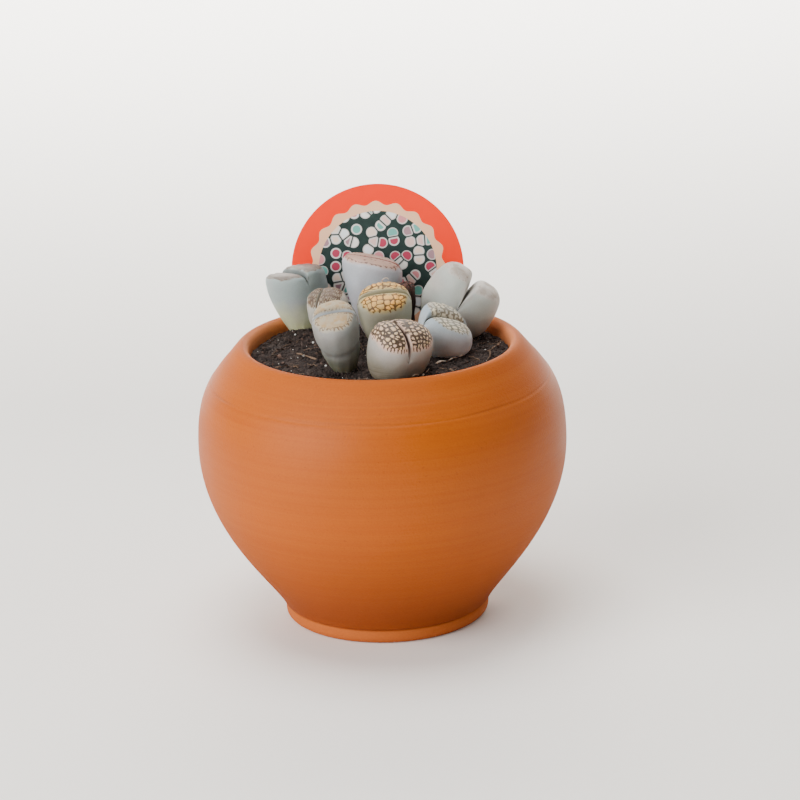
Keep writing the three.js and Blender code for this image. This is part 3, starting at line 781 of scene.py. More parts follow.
def soil_mesh():
    """The fill of the pot as one closed body with a crumbled top."""
    segments = 300
    wall = join_curves(POT_INSIDE, [10, 14])[::-1] * MM
    side = [(r - SOIL_CLEARANCE, max(z, SOIL_FLOOR)) for r, z in wall]
    side = [(0.2 * MM, SOIL_FLOOR), (15 * MM, SOIL_FLOOR), *side]
    lower = [soil_disc([r], segments, lambda x, y, z=z: 0 * x + z) for r, z in side]
    radii = np.linspace(SOIL_RADIUS, 0.15 * MM, 120)
    upper = soil_disc(radii, segments, lambda x, y: soil_height(x, y) + crumbled(x, y))
    rows = len(side) + len(radii)
    faces = grid_faces(rows, segments, wrap_columns=True)
    mesh = mesh_from("soil_fill", np.vstack([*lower, upper]), faces)
    return sealed(mesh, end_rings(rows, segments))


def scatter_surface():
    """A plain copy of the soil's top that crumbs are scattered on."""
    segments = 96
    radii = np.linspace(SOIL_RADIUS - 1.6 * MM, 0.3 * MM, 36)
    points = soil_disc(radii, segments, soil_height)
    faces = grid_faces(len(radii), segments, wrap_columns=True)
    return new_object("scatter_surface", mesh_from("scatter_surface", points, faces))


def random_vector(tree, low, high, seed):
    """A random vector for each instance."""
    inputs = {0: low, 1: high, "Seed": seed}
    return add(tree, "FunctionNodeRandomValue", inputs, data_type="FLOAT_VECTOR").outputs[0]


def random_share(tree, seed):
    """A random number from 0 to 1 for each instance."""
    inputs = {2: 0.0, 3: 1.0, "Seed": seed}
    return add(tree, "FunctionNodeRandomValue", inputs, data_type="FLOAT").outputs[1]


def scatter_tree(name, make_shape, squash, upright):
    """A Geometry Nodes tree that strews a shape over a surface, each turned and sized at random."""
    tree = bpy.data.node_groups.new(name, "GeometryNodeTree")
    sockets = {
        "Surface": "Geometry", "Density": "Float", "Smallest": "Float", "Largest": "Float",
        "Lift": "Float", "Seed": "Int", "Material": "Material",
    }
    for label, kind in sockets.items():
        tree.interface.new_socket(label, in_out="INPUT", socket_type=f"NodeSocket{kind}")
    tree.interface.new_socket("Pieces", in_out="OUTPUT", socket_type="NodeSocketGeometry")
    given = tree.nodes.new("NodeGroupInput").outputs
    seed = given["Seed"]

    def step(kind, inputs, **settings):
        return add(tree, f"GeometryNode{kind}", inputs, **settings).outputs[0]

    where = {"Mesh": given["Surface"], "Density": given["Density"], "Seed": seed}
    points = step("DistributePointsOnFaces", where)
    turn = random_vector(tree, (-upright, -upright, 0), (upright, upright, FULL_TURN), seed)
    even = random_share(tree, plus(seed, 1))
    size = ranged(maths("POWER", even, 2.5), 0, 1, given["Smallest"], given["Largest"])
    shape_scale = random_vector(tree, squash, (1, 1, 1), plus(seed, 2))
    scale = vector_maths("SCALE", shape_scale, scale=size)
    shape = {"Points": points, "Instance": make_shape(tree), "Rotation": turn, "Scale": scale}
    placed = step("InstanceOnPoints", shape)
    lift = add(tree, "ShaderNodeCombineXYZ", {2: given["Lift"]}).outputs[0]
    lifting = {"Instances": placed, "Translation": lift, "Local Space": False}
    lifted = step("TranslateInstances", lifting)
    own = {"Geometry": lifted, "Name": "tone", "Value": random_share(tree, plus(seed, 3))}
    toned = step("StoreNamedAttribute", own, data_type="FLOAT", domain="INSTANCE")
    real = step("RealizeInstances", {"Geometry": toned})
    rough = add(tree, "ShaderNodeTexNoise", {"Scale": 900.0, "Detail": 1.0}).outputs["Color"]
    shifted = vector_maths("SUBTRACT", rough, (0.5, 0.5, 0.5))
    offset = vector_maths("SCALE", shifted, scale=times(given["Smallest"], 1.2))
    uneven = step("SetPosition", {"Geometry": real, "Offset": offset})
    painted = step("SetMaterial", {"Geometry": uneven, "Material": given["Material"]})
    put_out(tree, Pieces=painted)
    return tree


def ball_shape(subdivisions):
    """Makes a small many-sided ball of radius 1 in a tree."""

    def make(tree):
        inputs = {"Radius": 1.0, "Subdivisions": subdivisions}
        return add(tree, "GeometryNodeMeshIcoSphere", inputs).outputs[0]

    return make


def straw_shape(tree):
    """Makes a thin bent straw of length 2 in a tree."""
    bend = {"Resolution": 7, "Start": (-1, 0, 0), "Middle": (0.1, 0.35, 0.12), "End": (1, 0.05, 0)}
    bow = add(tree, "GeometryNodeCurveQuadraticBezier", bend).outputs[0]
    round_section = {"Resolution": 5, "Radius": 0.045}
    ring = add(tree, "GeometryNodeCurvePrimitiveCircle", round_section).outputs[0]
    tube = {"Curve": bow, "Profile Curve": ring, "Fill Caps": True}
    return add(tree, "GeometryNodeCurveToMesh", tube).outputs[0]


def scattered(name, tree, **values):
    """The plain mesh that a scatter tree makes on the soil, as an object."""
    surface = scatter_surface()
    modifier = surface.modifiers.new(tree.name, "NODES")
    modifier.node_group = tree
    for item in tree.interface.items_tree:
        if item.in_out == "INPUT" and item.name in values:
            modifier[item.identifier] = values[item.name]
    graph = bpy.context.evaluated_depsgraph_get()
    mesh = bpy.data.meshes.new_from_object(surface.evaluated_get(graph))
    mesh.name = name
    surface.modifiers.remove(modifier)
    bpy.data.objects.remove(surface)
    return new_object(name, mesh)


# The heads


def head_axes(head):
    """A head's foot, its directions across and along the cleft and up, and its height."""
    foot = Vector((*head.foot, FOOT_Z))
    up = Vector(head.crown) - foot
    height = up.length
    up.normalize()
    lean = Vector((0, 0, 1)).rotation_difference(up)
    across = lean @ Vector((math.cos(head.turn), math.sin(head.turn), 0))
    return np.array(foot), np.array([across, up.cross(across), up]), height


def girth(head, notch, z):
    """The outline at height z as a share of the outline at the shoulder."""
    root = head.waist * (1 - ROOT_TAPER * smooth(-z / ROOT_DEPTH))
    rise = np.sin(np.clip(z / notch, 0, 1) * np.pi / 2) ** head.flare
    side = head.waist + (1 - head.waist) * rise
    from_crease = (z / notch - head.crease_at) / CREASE_REACH
    crease = np.exp(-(from_crease**2)) * head.crease / head.half_length
    return np.where(z < 0, root, side) - crease * (z > 0)


def wrinkles(head, angle, z):
    """Two crossing waves round the side."""
    return head.wrinkle * np.sin(7 * angle + z / (4 * MM)) * np.sin(3 * angle - z / (2.5 * MM) + 1)


def nearest_cells(u, v, cell, seed):
    """Distances to the nearest two cell centres, and the nearest cell's own value."""
    i, j = np.floor(u / cell), np.floor(v / cell)
    first = np.full(u.shape, 9.0)
    second = np.full(u.shape, 9.0)
    value = np.zeros(u.shape)
    for a in (-1, 0, 1):
        for b in (-1, 0, 1):
            ca, cb = i + a, j + b
            cu = (ca + CELL_EDGE + CELL_PLAY * chance(ca, cb, seed)) * cell
            cv = (cb + CELL_EDGE + CELL_PLAY * chance(ca, cb, seed + 4)) * cell
            away = np.hypot(u - cu, v - cv)
            closer = away < first
            second = np.where(closer, first, np.minimum(second, away))
            value = np.where(closer, chance(ca, cb, seed + 7), value)
            first = np.minimum(first, away)
    return first, second, value


def window_values(head, lobe, u, v):
    """What the skin shows at flat crown coordinates: window, islands, lines, margin and relief."""
    reach = head.lobes[lobe] * head.window_across[lobe]
    half = head.half_length * head.window_along[lobe]
    outline = (np.abs(u) / reach) ** WINDOW_POWER + (np.abs(v) / half) ** WINDOW_POWER
    edge = (1 - outline ** (1 / WINDOW_POWER)) * min(reach, half)
    edge = np.minimum(edge, u - head.window_from[lobe])
    cell = head.cell
    edge = edge + 0.3 * cell * lumps(u, v, 0.9 * cell, 27 + lobe)
    bend, bend_size = 0.32 * cell, 1.3 * cell
    du = u + bend * lumps(u, v, bend_size, 21 + lobe)
    dv = v + bend * lumps(u + 5 * cell, v, bend_size, 23 + lobe)
    across, along = du / head.stretch[0], dv / head.stretch[1]
    first, second, value = nearest_cells(across, along, cell, 5 + 10 * lobe)
    border = second - first
    reach_out = head.teeth * (0.7 + 0.6 * lumps(du, dv, 0.9 * cell, 25))
    deep = smooth(edge / max(head.teeth, 0.1 * MM))
    fade = smooth((edge + reach_out) / reach_out)
    width = (head.line_inside * deep + head.line_margin * (1 - deep)) * fade
    border = border - 0.7 * np.maximum(first - 0.4 * cell, 0) * smooth(3 * width / cell)
    line = smooth((width - border) / LINE_SOFTNESS + 0.5) * (fade > 0.02)
    if head.tooth_pitch > 0:
        round_edge = np.arctan2(v / half, u / reach) * (reach + half) / 2
        sway = 1.6 * lumps(u, v, 1.5 * head.tooth_pitch, 29 + lobe)
        comb = 0.5 + 0.5 * np.cos(2 * np.pi * round_edge / head.tooth_pitch + sway)
        tip = 0.35 + 0.6 * np.clip(-edge / reach_out, 0, 1)
        tooth = smooth((comb - tip) / 0.2) * (edge > -reach_out)
        within = smooth(edge / (0.8 * MM) + 0.5)
        line = line * within + tooth * (1 - within)
    inside = smooth(edge / head.blend + 0.5)
    margin = smooth((edge + head.margin_width) / head.margin_width)
    dome = smooth(border / (0.8 * cell))
    relief = head.relief * (dome - 0.45) * smooth((edge + reach_out) / (2 * reach_out))
    return {"island": inside, "line": line, "margin": margin, "tone": value}, relief


def lobe_grid(head, lobe, notch, counts):
    """One lobe from the root up over its crown and down into the cleft. It gives the points in
    the head's axes, their flat crown coordinates, and which of them lie inside the cleft."""
    around, body, outer, inner = counts
    side = 2 * lobe - 1
    reach = head.lobes[lobe]
    half = head.half_length
    top = head.cleft + head.rise[lobe]
    t = np.linspace(-1, 1, around + 1)
    turn = np.sign(t) * (1 - (1 - np.abs(t)) ** ROUND_CROWDING) * np.pi / 2
    cos, sin = np.cos(turn), np.sin(turn)
    angle = np.pi - turn if side < 0 else turn

    z = np.linspace(-ROOT_DEPTH, notch, body + 1)[:, None]
    share = girth(head, notch, z)
    ridge = wrinkles(head, angle, z)
    body_x = (reach * share + ridge) * cos
    body_y = (half * share + ridge) * sin
    body_z = z + 0 * cos

    full = np.maximum(1 - np.abs(sin) ** head.round_along, 0) ** (1 / head.round_along)
    rise = top * full
    gap = head.gap * rise / head.cleft
    ridge = wrinkles(head, angle, notch)
    width = (reach + ridge) * cos
    summit = gap + head.summit * (width - gap)
    a = np.linspace(0, np.pi / 2, outer + 1)[1:, None]
    b = np.linspace(0, np.pi / 2, inner + 1)[1:, None]
    over = 2 / head.round_out
    corner = np.sin(b) ** head.round_in + np.cos(b).clip(0) ** head.round_in
    corner = corner ** (1 / head.round_in)
    outer_x = summit + (width - summit) * np.cos(a).clip(0) ** over
    outer_z = rise * np.sin(a) ** over
    inner_x = summit - (summit - gap) * np.sin(b) / corner
    inner_z = rise * np.cos(b).clip(0) / corner
    x = np.vstack([outer_x, inner_x])
    z = np.vstack([outer_z, inner_z])
    share = z / np.maximum(rise, 1e-9)
    y = (half + ridge * (1 - share)) * sin * (1 - head.draw_in * share**2)

    centre = head.gap + head.summit * reach
    px = np.vstack([np.broadcast_to(body_x[-1], body_x.shape), x]) - centre
    py = np.vstack([np.broadcast_to(body_y[-1], body_y.shape), y])
    out = np.maximum(np.hypot(px, py), 1e-9)
    inward = np.vstack([0 * body_x, 0 * outer_x, rise - inner_z])
    drop = np.vstack([top + notch - body_z, top - outer_z, top - rise + 0 * inner_x])
    u = px + centre + px / out * drop - inward
    v = py + py / out * drop
    inside = np.vstack([0 * body_x, 0 * outer_x, smooth(1.5 * full) + 0 * inner_x])

    outward = head.spread[lobe] * share
    crown_x = x * np.cos(outward) + z * np.sin(outward)
    crown_z = z * np.cos(outward) - 0.5 * x * np.sin(outward)
    crown_x[-1], crown_z[-1], y[-1] = 0, 0, half * sin
    x = np.vstack([body_x, crown_x]) * side
    y = np.vstack([body_y, y])
    z = np.vstack([body_z, notch + crown_z])
    x[:, [0, -1]] = 0
    z[body:, [0, -1]] = notch
    y[body:, [0, -1]] = body_y[-1, [0, -1]]
    return np.stack([x, y, z], -1), u, v, inside


def swell(points, side, relief):
    """Moves grid points along their normals by relief, with the shared edges left in place."""
    down = np.gradient(points, axis=0)
    on = np.gradient(points, axis=1)
    normal = np.cross(on, down) * side
    size = np.linalg.norm(normal, axis=-1, keepdims=True)
    normal = normal / np.maximum(size, 1e-15)
    rows, columns = relief.shape
    c = np.minimum(np.arange(columns), np.arange(columns)[::-1])[None, :]
    r = np.arange(rows)[::-1][:, None]
    hold = smooth(c / HELD_STEPS) * smooth(r / HELD_STEPS)
    return points + normal * (relief * hold)[..., None]


def head_mesh(head, counts):
    """A head as one closed surface with the values that its skin reads."""
    foot, axes, height = head_axes(head)
    notch = height - head.cleft
    all_points, all_faces, caps, values = [], [], [], {}
    start = 0
    for lobe in (0, 1):
        points, u, v, inside = lobe_grid(head, lobe, notch, counts)
        shown, relief = window_values(head, lobe, u, v)
        z = points[..., 2]
        soft = 0.1 * MM * lumps(u, v + z, 5 * MM, 31 + lobe) * smooth(z / (3 * MM))
        points = swell(points, 2 * lobe - 1, relief + soft)
        shown["rise"] = np.clip(z / height, 0, 1)
        # The lip mask covers the cleft's lips and inner faces: on some heads it carries their own
        # band, on lithops_front and lithops_right painted shade deep in the cleft.
        shown["lip"] = smooth(0.5 + (head.lip_width - u) / (0.6 * MM)) * inside
        for key, value in shown.items():
            values.setdefault(key, []).append((value + 0 * z).reshape(-1))
        all_points.append(points.reshape(-1, 3))
        all_faces.append(grid_faces(*z.shape) + start)
        caps += [(2 * z.size, start + k, start + k + 1) for k in range(z.shape[1] - 1)]
        start += z.size
    root_tip = np.array([[0, 0, -ROOT_DEPTH - 1.5 * MM]])
    local = np.vstack([*all_points, root_tip])
    slope = head.tip[0] * local[:, 0] + head.tip[1] * local[:, 1]
    local[:, 2] += smooth(local[:, 2] / notch) * slope
    merged = {key: np.append(np.concatenate(parts), 0) for key, parts in values.items()}
    mesh = mesh_from(head.name, foot + local @ axes, np.vstack(all_faces), merged)
    return sealed(mesh, caps, weld=1e-3 * MM)


# The dry leaves


def sheath_mesh(sheath, head):
    """A thin torn strip that follows a head's side just above and below the soil."""
    foot, axes, height = head_axes(head)
    notch = height - head.cleft
    steps, rows = 72, 10
    below = 2 * MM
    angle = np.radians(np.linspace(sheath["start"], sheath["end"], steps + 1))[:, None]
    torn = 0.72 + 0.28 * lumps(angle * 4, 0 * angle, 0.5, 3)
    torn = torn + 0.12 * lumps(angle * 14, 0 * angle, 0.5, 5)
    side = np.linspace(0, 1, rows + 1)[None, :]
    z = -below + side * (torn * sheath["height"] * MM + below)
    curl = 0.35 * MM * smooth(side * 1.4 - 0.4) * (1 + lumps(angle * 6, 0 * angle, 0.5, 8))
    reach = np.where(np.cos(angle) < 0, head.lobes[0], head.lobes[1])
    share = girth(head, notch, z)
    layers = []
    for off in SHEATH_LAYERS:
        x = (reach * share + off + curl) * np.cos(angle)
        y = (head.half_length * share + off + curl) * np.sin(angle)
        layers.append(np.stack([x, y, z], -1))
    section = np.concatenate([layers[0], layers[1][:, ::-1]], 1)
    width = section.shape[1]
    points = foot + section.reshape(-1, 3) @ axes
    mesh = mesh_from(sheath["name"], points, grid_faces(steps + 1, width, wrap_columns=True))
    caps = [
        [row * width + corner for corner in (k, k + 1, width - 2 - k, width - 1 - k)]
        for row in (0, steps)
        for k in range(rows)
    ]
    return sealed(mesh, caps)


def strand_mesh(name, path, width, thickness):
    """A flat strand of dry skin along a path of points in mm, pointed at both ends."""
    corners = np.array(path, float) * MM
    spans = len(corners) - 1
    t = np.linspace(0, spans, 14 * spans + 1)
    k = np.minimum(t.astype(int), spans - 1)
    f = (t - k)[:, None]
    before, a = corners[np.maximum(k - 1, 0)], corners[k]
    b, after = corners[k + 1], corners[np.minimum(k + 2, spans)]
    curve = (2 * before - 5 * a + 4 * b - after) * f**2 + (3 * a - before - 3 * b + after) * f**3
    line = a + 0.5 * ((b - before) * f + curve)
    ahead = np.gradient(line, axis=0)
    ahead /= np.linalg.norm(ahead, axis=1, keepdims=True)
    flat = np.cross(ahead, STRAND_FACING)
    flat /= np.linalg.norm(flat, axis=1, keepdims=True)
    thick = np.cross(ahead, flat)
    share = np.linspace(0.0, 1.0, len(line)).clip(0.02, 0.98)[:, None, None]
    taper = np.clip(np.sin(np.pi * share) ** 0.6, 0.08, 1)
    sides = 10
    angle = np.linspace(0, 2 * np.pi, sides, endpoint=False)[None, :, None]
    ring = flat[:, None] * np.cos(angle) * width * MM / 2
    ring = ring + thick[:, None] * np.sin(angle) * thickness * MM / 2
    points = (line[:, None] + ring * taper).reshape(-1, 3)
    mesh = mesh_from(name, points, grid_faces(len(line), sides, wrap_columns=True))
    return sealed(mesh, end_rings(len(line), sides))


# The label


def label_mesh(label):
    """A thin round plate with a pointed stake, printed on its front."""
    half = label.stake_width / 2
    depth = label.thickness
    blunt = 0.8 * MM
    opening = math.asin(half / label.radius)
    arc = np.linspace(opening - math.pi / 2, 1.5 * math.pi - opening, 160)
    outline = [(label.radius * math.cos(a), label.radius * math.sin(a)) for a in arc]
    end = -label.stake_reach
    tip = [(-half, end + half), (-blunt, end + blunt), (blunt, end + blunt), (half, end + half)]
    shell = bmesh.new()
    back = shell.faces.new([shell.verts.new((u, v, -depth / 2)) for u, v in outline + tip])
    grown = bmesh.ops.extrude_face_region(shell, geom=[back])
    moved = [item for item in grown["geom"] if isinstance(item, bmesh.types.BMVert)]
    bmesh.ops.translate(shell, verts=moved, vec=(0, 0, depth))
    rises = [abs(edge.verts[0].co.z - edge.verts[1].co.z) for edge in shell.edges]
    rim = [edge for edge, rise in zip(shell.edges, rises) if rise < 1e-4 * MM]
    bmesh.ops.bevel(shell, geom=rim, offset=0.15 * MM, segments=3, affect="EDGES", profile=0.5)
    bmesh.ops.recalc_face_normals(shell, faces=shell.faces)
    bmesh.ops.triangulate(shell, faces=[face for face in shell.faces if len(face.verts) > 4])
    for face in shell.faces:
        face.smooth = abs(face.normal.z) < 0.99
        face.material_index = 1 if face.normal.z > 0.9 else 0
    lean = Matrix.Rotation(math.radians(90) - label.lean, 4, "X")
    stand = Matrix.Translation(label.centre) @ lean
    bmesh.ops.transform(shell, matrix=stand, verts=shell.verts)
    mesh = bpy.data.meshes.new("plant_label_printed")
    shell.to_mesh(mesh)
    shell.free()
    return mesh


# The settings that a user would change


def number(name, description, value, **more):
    """A plain number setting."""
    return FloatProperty(name=name, description=description, default=value, **more)


def length(name, description, value, **more):
    """A length setting, with its value in mm."""
    return number(name, description, value * MM, unit="LENGTH", precision=5, **more)


def turned(name, description, value):
    """An angle setting, with its value in degrees."""
    return number(name, description, math.radians(value), subtype="ANGLE", unit="ROTATION")


def pair(name, description, value, scale=1, **more):
    """A setting with a value for each of the two lobes."""
    default = [part * scale for part in value]
    return FloatVectorProperty(name=name, description=description, default=default, size=2, **more)


def lengths(name, description, value):
    """A length for each of the two lobes, with its values in mm."""
    return pair(name, description, value, MM, unit="LENGTH")


def turns(name, description, value):
    """An angle for each of the two lobes, with its values in degrees."""
    return pair(name, description, value, math.radians(1), unit="ROTATION")


def point(name, description, value):
    """A point in space, with its value in mm."""
    return FloatVectorProperty(
        name=name, description=description, default=[part * MM for part in value], size=3,
        subtype="TRANSLATION", unit="LENGTH",
    )


def tint(name, description, value):
    """A colour setting, with its value as a web colour or as linear red, green and blue."""
    colour = linear(value) if isinstance(value, str) else value
    return FloatVectorProperty(
        name=name, description=description, default=colour, size=3, min=0, max=1, subtype="COLOR",
    )


class PotSettings(bpy.types.PropertyGroup):
    ring_depth: length("Ring depth", "Depth of the rings left by the potter's fingers", 0.09, min=0)
    ring_spacing: length("Ring spacing", "How closely the finger rings follow each other", 0.9)
    crease_height: length("Crease height", "Level of the fine crease round the shoulder", 101.2)
    crease_depth: length("Crease depth", "Depth of the crease round the shoulder", 0.3, min=0)
    drain_radius: length("Drain radius", "Radius of the hole in the floor", 6, min=0)
    clay: tint("Clay", "Main colour of the fired clay", "#a04a06")
    clay_pale: tint("Pale clay", "Colour of the paler rings", "#a5500a")
    # Inner clay: the dust on the wall above the soil, and also a faint painted sheen on the foot
    # bead.
    clay_inside: tint("Inner clay", "Colour of the dusty wall above the soil", "#cf7c4c")
    # Deep clay: the darkening towards the foot and along the crease is painted shade; the dark
    # specks are the clay's own.
    clay_deep: tint("Deep clay", "Colour towards the foot and of the dark specks", "#76330e")


class SoilSettings(bpy.types.PropertyGroup):
    dark: tint("Dark soil", "Colour of the damp crumb", "#2b2523")
    brown: tint("Brown soil", "Colour of the drier crumb", "#493d38")
    pale: tint("Pale grit", "Colour of the finest grit", "#8a7d74")
    crumb_density: number("Crumb density", "Crumbs on a square metre of soil", 620000, min=0)
    perlite_density: number("Perlite density", "Perlite grains on a square metre", 9000, min=0)
    fibre_density: number("Fibre density", "Fibres on a square metre of soil", 10000, min=0)
    seed: IntProperty(name="Seed", description="Changes how the crumbs are strewn", default=7)


class LabelSettings(bpy.types.PropertyGroup):
    radius: length("Radius", "Radius of the round plate", 35.8, min=1 * MM)
    thickness: length("Thickness", "Thickness of the plastic", 0.8, min=0.2 * MM)
    centre: point("Centre", "Middle of the round plate", (0.2, 44, 133.1))
    lean: turned("Lean", "How far the plate leans back", 8)
    stake_width: length("Stake width", "Width of the stake", 15, min=1 * MM)
    stake_reach: length("Stake reach", "From the middle of the plate to the stake's tip", 66)
    inset: length("Inset radius", "Radius of the round picture of pebbles", 24.5, min=1 * MM)
    pebble: length("Pebble pitch", "From one printed pebble to the next", 4.9, min=0.5 * MM)
    ground: tint("Ground", "Colour of the print's outer ring", "#ff3208")
    band: tint("Band", "Colour of the scalloped ring", "#f6c39c")


class HeadSettings(bpy.types.PropertyGroup):
    slot: StringProperty(
        name="Slot", description="The finish slot that the head belongs to",
        default="skin_blue_grey",
    )
    foot: lengths("Foot", "Where the head leaves the soil", (0, 0))
    crown: point("Crown", "Middle of the cleft at its lips", (0, 0, 135))
    turn: turned("Turn", "Direction across the cleft", 0)
    half_length: length("Half length", "Half the length of the cleft", 11)
    lobes: lengths("Lobes", "How far each lobe reaches from the cleft", (10, 10))
    cleft: length("Cleft", "Depth of the cleft", 6)
    gap: length("Gap", "Half the width of the cleft", 0.25)
    waist: number("Waist", "Outline at the soil as a share of the outline at the shoulder", 0.5)
    flare: number("Flare", "Below 1 the side bulges, above 1 it is hollow", 0.8)
    spread: turns("Spread", "How far each lobe leans away from the cleft", (2, 2))
    summit: number("Summit", "Where a lobe is highest, from the cleft to its outer side", 0.28)
    round_along: number("Round along", "Squareness of the crown along the cleft", 2.6)
    round_out: number("Round out", "Squareness of the shoulder", 2.4)
    round_in: number("Round in", "Squareness of the lip of the cleft", 5)
    rise: lengths("Rise", "Extra height of each lobe", (0, 0))
    draw_in: number("Draw in", "How far the crown is shorter than the shoulder", 0.05)
    tip: pair("Tip", "Slope of the crown across and along the cleft", (0, 0))
    wrinkle: length("Wrinkle", "Depth of the wrinkles down the side", 0)
    crease: length("Crease", "Depth of the soft waist", 0)
    crease_at: number("Crease at", "Height of the soft waist as a share of the body", 0.4)
    window_from: lengths("Window from", "Distance from the cleft to each window", (1.0, 1.0))
    window_across: pair("Window across", "Window's reach as a share of each lobe's", (0.9, 0.9))
    window_along: pair("Window along", "Window's half length as a share of the cleft's", (0.9, 0.9))
    cell: length("Cell", "Spacing of the islands", 2.4)
    stretch: pair("Stretch", "How far the islands are stretched across and along the cleft", (1, 1))
    line_inside: length("Line inside", "Width of the lines in the middle of the window", 0.5)
    line_margin: length("Line margin", "Width of the lines at the window's margin", 0.5)
    teeth: length("Teeth", "How far the lines reach past the margin", 1.2)
    tooth_pitch: length("Tooth pitch", "From one dark tooth at the margin to the next, or 0", 0)
    relief: length("Relief", "Height of the islands above the lines", 0.14)
    freckles: number("Freckles", "How strongly small freckles show in the windows", 0.0)
    flush: number("Flush", "How strongly the side is flushed with a second colour", 0.3)
    margin_width: length("Margin width", "Width of the pale margin round the window", 1.4)
    blend: length("Blend", "How softly the window's own colour begins", 1.0)
    # The lip colour is the cleft's own band on some heads, and painted shade deep in the cleft on
    # lithops_front and lithops_right.
    lip_width: length("Lip width", "How far the cleft's own colour reaches over its lips", 0.2)
    # The foot colour is the skin's own tint near the soil, darkened on several heads as painted
    # shade and lightened on others as painted light.
    foot_height: number("Foot height", "How far up the foot colour reaches", 0.25)
    foot_colour: tint("Foot colour", "Skin near the soil", "#8c8a62")
    side_colour: tint("Side colour", "Skin of the sides", "#a8acab")
    flush_colour: tint("Flush colour", "Soft patches on the sides", "#b0a5a0")
    margin_colour: tint("Margin colour", "Skin round the windows", "#b3aba0")
    island_colour: tint("Island colour", "Skin of the islands in the windows", "#b3aba0")
    line_colour: tint("Line colour", "Lines between the islands", "#84705c")
    # Lip colour: the cleft's own band, or painted shade deep in the cleft on lithops_front and
    # lithops_right.
    lip_colour: tint("Lip colour", "Lips of the cleft", "#8f8f88")


class DryLeafSettings(bpy.types.PropertyGroup):
    pale: tint("Pale skin", "Colour of the papery skin", "#e2d5c2")
    brown: tint("Brown skin", "Colour of the older skin", "#8a6a55")


class StageSettings(bpy.types.PropertyGroup):
    floor: tint("Floor", "Colour of the floor", (0.92, 0.885, 0.83))
    camera_distance: length("Camera distance", "How far the camera stands in front", 1279.9)
    camera_height: length("Camera height", "Height of the camera", 489.7)
    pitch: turned("Pitch", "How far the camera looks down", 17.35)
    yaw: turned("Yaw", "How far the camera looks to the right", 0.34)
    roll: turned("Roll", "How far the camera is turned about its own line of sight", -1.7)
    lens: number("Lens", "Focal length", 148.5, min=1, unit="CAMERA")
    key_power: number("Key light", "Power of the large light at the left", 56, unit="POWER")
    fill_power: number("Fill light", "Power of the weak light at the right", 3, unit="POWER")
    top_power: number("Top light", "Power of the light overhead", 29, unit="POWER")
    backdrop_power: number("Backdrop light", "Power of the backdrop's light", 260, unit="POWER")
    sky: number("Sky", "Strength of the even light all round", 0.24)


class PlantSettings(bpy.types.PropertyGroup):
    pot: PointerProperty(type=PotSettings)
    soil: PointerProperty(type=SoilSettings)
    label: PointerProperty(type=LabelSettings)
    heads: CollectionProperty(type=HeadSettings)
    dry_leaves: PointerProperty(type=DryLeafSettings)
    stage: PointerProperty(type=StageSettings)


LENGTHS = (
    "foot", "crown", "half_length", "lobes", "cleft", "gap", "rise", "wrinkle", "crease",
    "window_from", "cell", "line_inside", "line_margin", "teeth", "tooth_pitch", "relief",
    "margin_width", "blend", "lip_width",
)
ANGLES = ("turn", "spread")


def converted(key, value):
    """A value of the heads' table in metres, radians or linear colour."""
    if key.endswith("_colour"):
        return linear(value)
    scale = MM if key in LENGTHS else math.radians(1) if key in ANGLES else 1
    if isinstance(value, (int, float)):
        return value * scale
    return value if isinstance(value, str) else [part * scale for part in value]


def fill_heads(heads):
    """Copies the heads' table into the settings. What it doesn't give keeps its default."""
    heads.clear()
    for own in HEADS:
        head = heads.add()
        for key, value in own.items():
            setattr(head, key, converted(key, value))


# The operators, one for each piece or group of like pieces


class PLANT_OT_pot(bpy.types.Operator):
    """Make the terracotta pot"""

    bl_idname = "plant.make_pot"
    bl_label = "Make Pot"

    def execute(self, context):
        pot = context.scene.potted_plant.pot
        piece = new_object("pot_fired", pot_mesh(pot))
        settle(piece, clay_material(pot), "terracotta", "pot")
        return {"FINISHED"}


class PLANT_OT_soil(bpy.types.Operator):
    """Fill the pot with soil and strew crumbs, bark, perlite and fibres on it"""

    bl_idname = "plant.fill_soil"
    bl_label = "Fill Soil"

    def execute(self, context):
        soil = context.scene.potted_plant.soil
        piece = new_object("soil_fill", soil_mesh())
        settle(piece, soil_material(soil), "soil", "soil")
        crumb = crumb_material("Soil crumbs", soil.dark, soil.brown, 0.95)
        bark = crumb_material("Bark bits", linear("#332723"), linear("#5f4a40"), 0.85)
        perlite = crumb_material("Perlite", linear("#b3aea6"), linear("#e2dfd9"), 0.8)
        fibre = crumb_material("Soil fibres", linear("#3c2e27"), linear("#77614f"), 0.8)
        small = scatter_tree("Strew crumbs", ball_shape(1), (0.45, 0.45, 0.35), FULL_TURN)
        flat = scatter_tree("Strew bark", ball_shape(1), (0.25, 0.2, 0.12), 0.5)
        grains = scatter_tree("Strew perlite", ball_shape(2), (0.6, 0.6, 0.5), FULL_TURN)
        straws = scatter_tree("Strew fibres", straw_shape, (0.9, 0.9, 0.9), 0.25)
        # Name, tree, material, pieces on a square metre, smallest and largest size and lift in mm
        kinds = [
            ("soil_crumbs", small, crumb, soil.crumb_density, 0.28, 1.15, 0.15),
            ("soil_bark", flat, bark, soil.fibre_density * 1.6, 0.6, 1.5, 0.35),
            ("soil_perlite", grains, perlite, soil.perlite_density, 0.2, 0.62, 0.3),
            ("soil_fibres", straws, fibre, soil.fibre_density, 2.2, 6.5, 0.6),
        ]
        for k, (name, tree, material, density, smallest, largest, lift) in enumerate(kinds):
            piece = scattered(
                name, tree, Density=density, Smallest=smallest * MM, Largest=largest * MM,
                Lift=lift * MM, Seed=soil.seed + 10 * k, Material=material,
            )
            settle(piece, None, "soil")
        return {"FINISHED"}


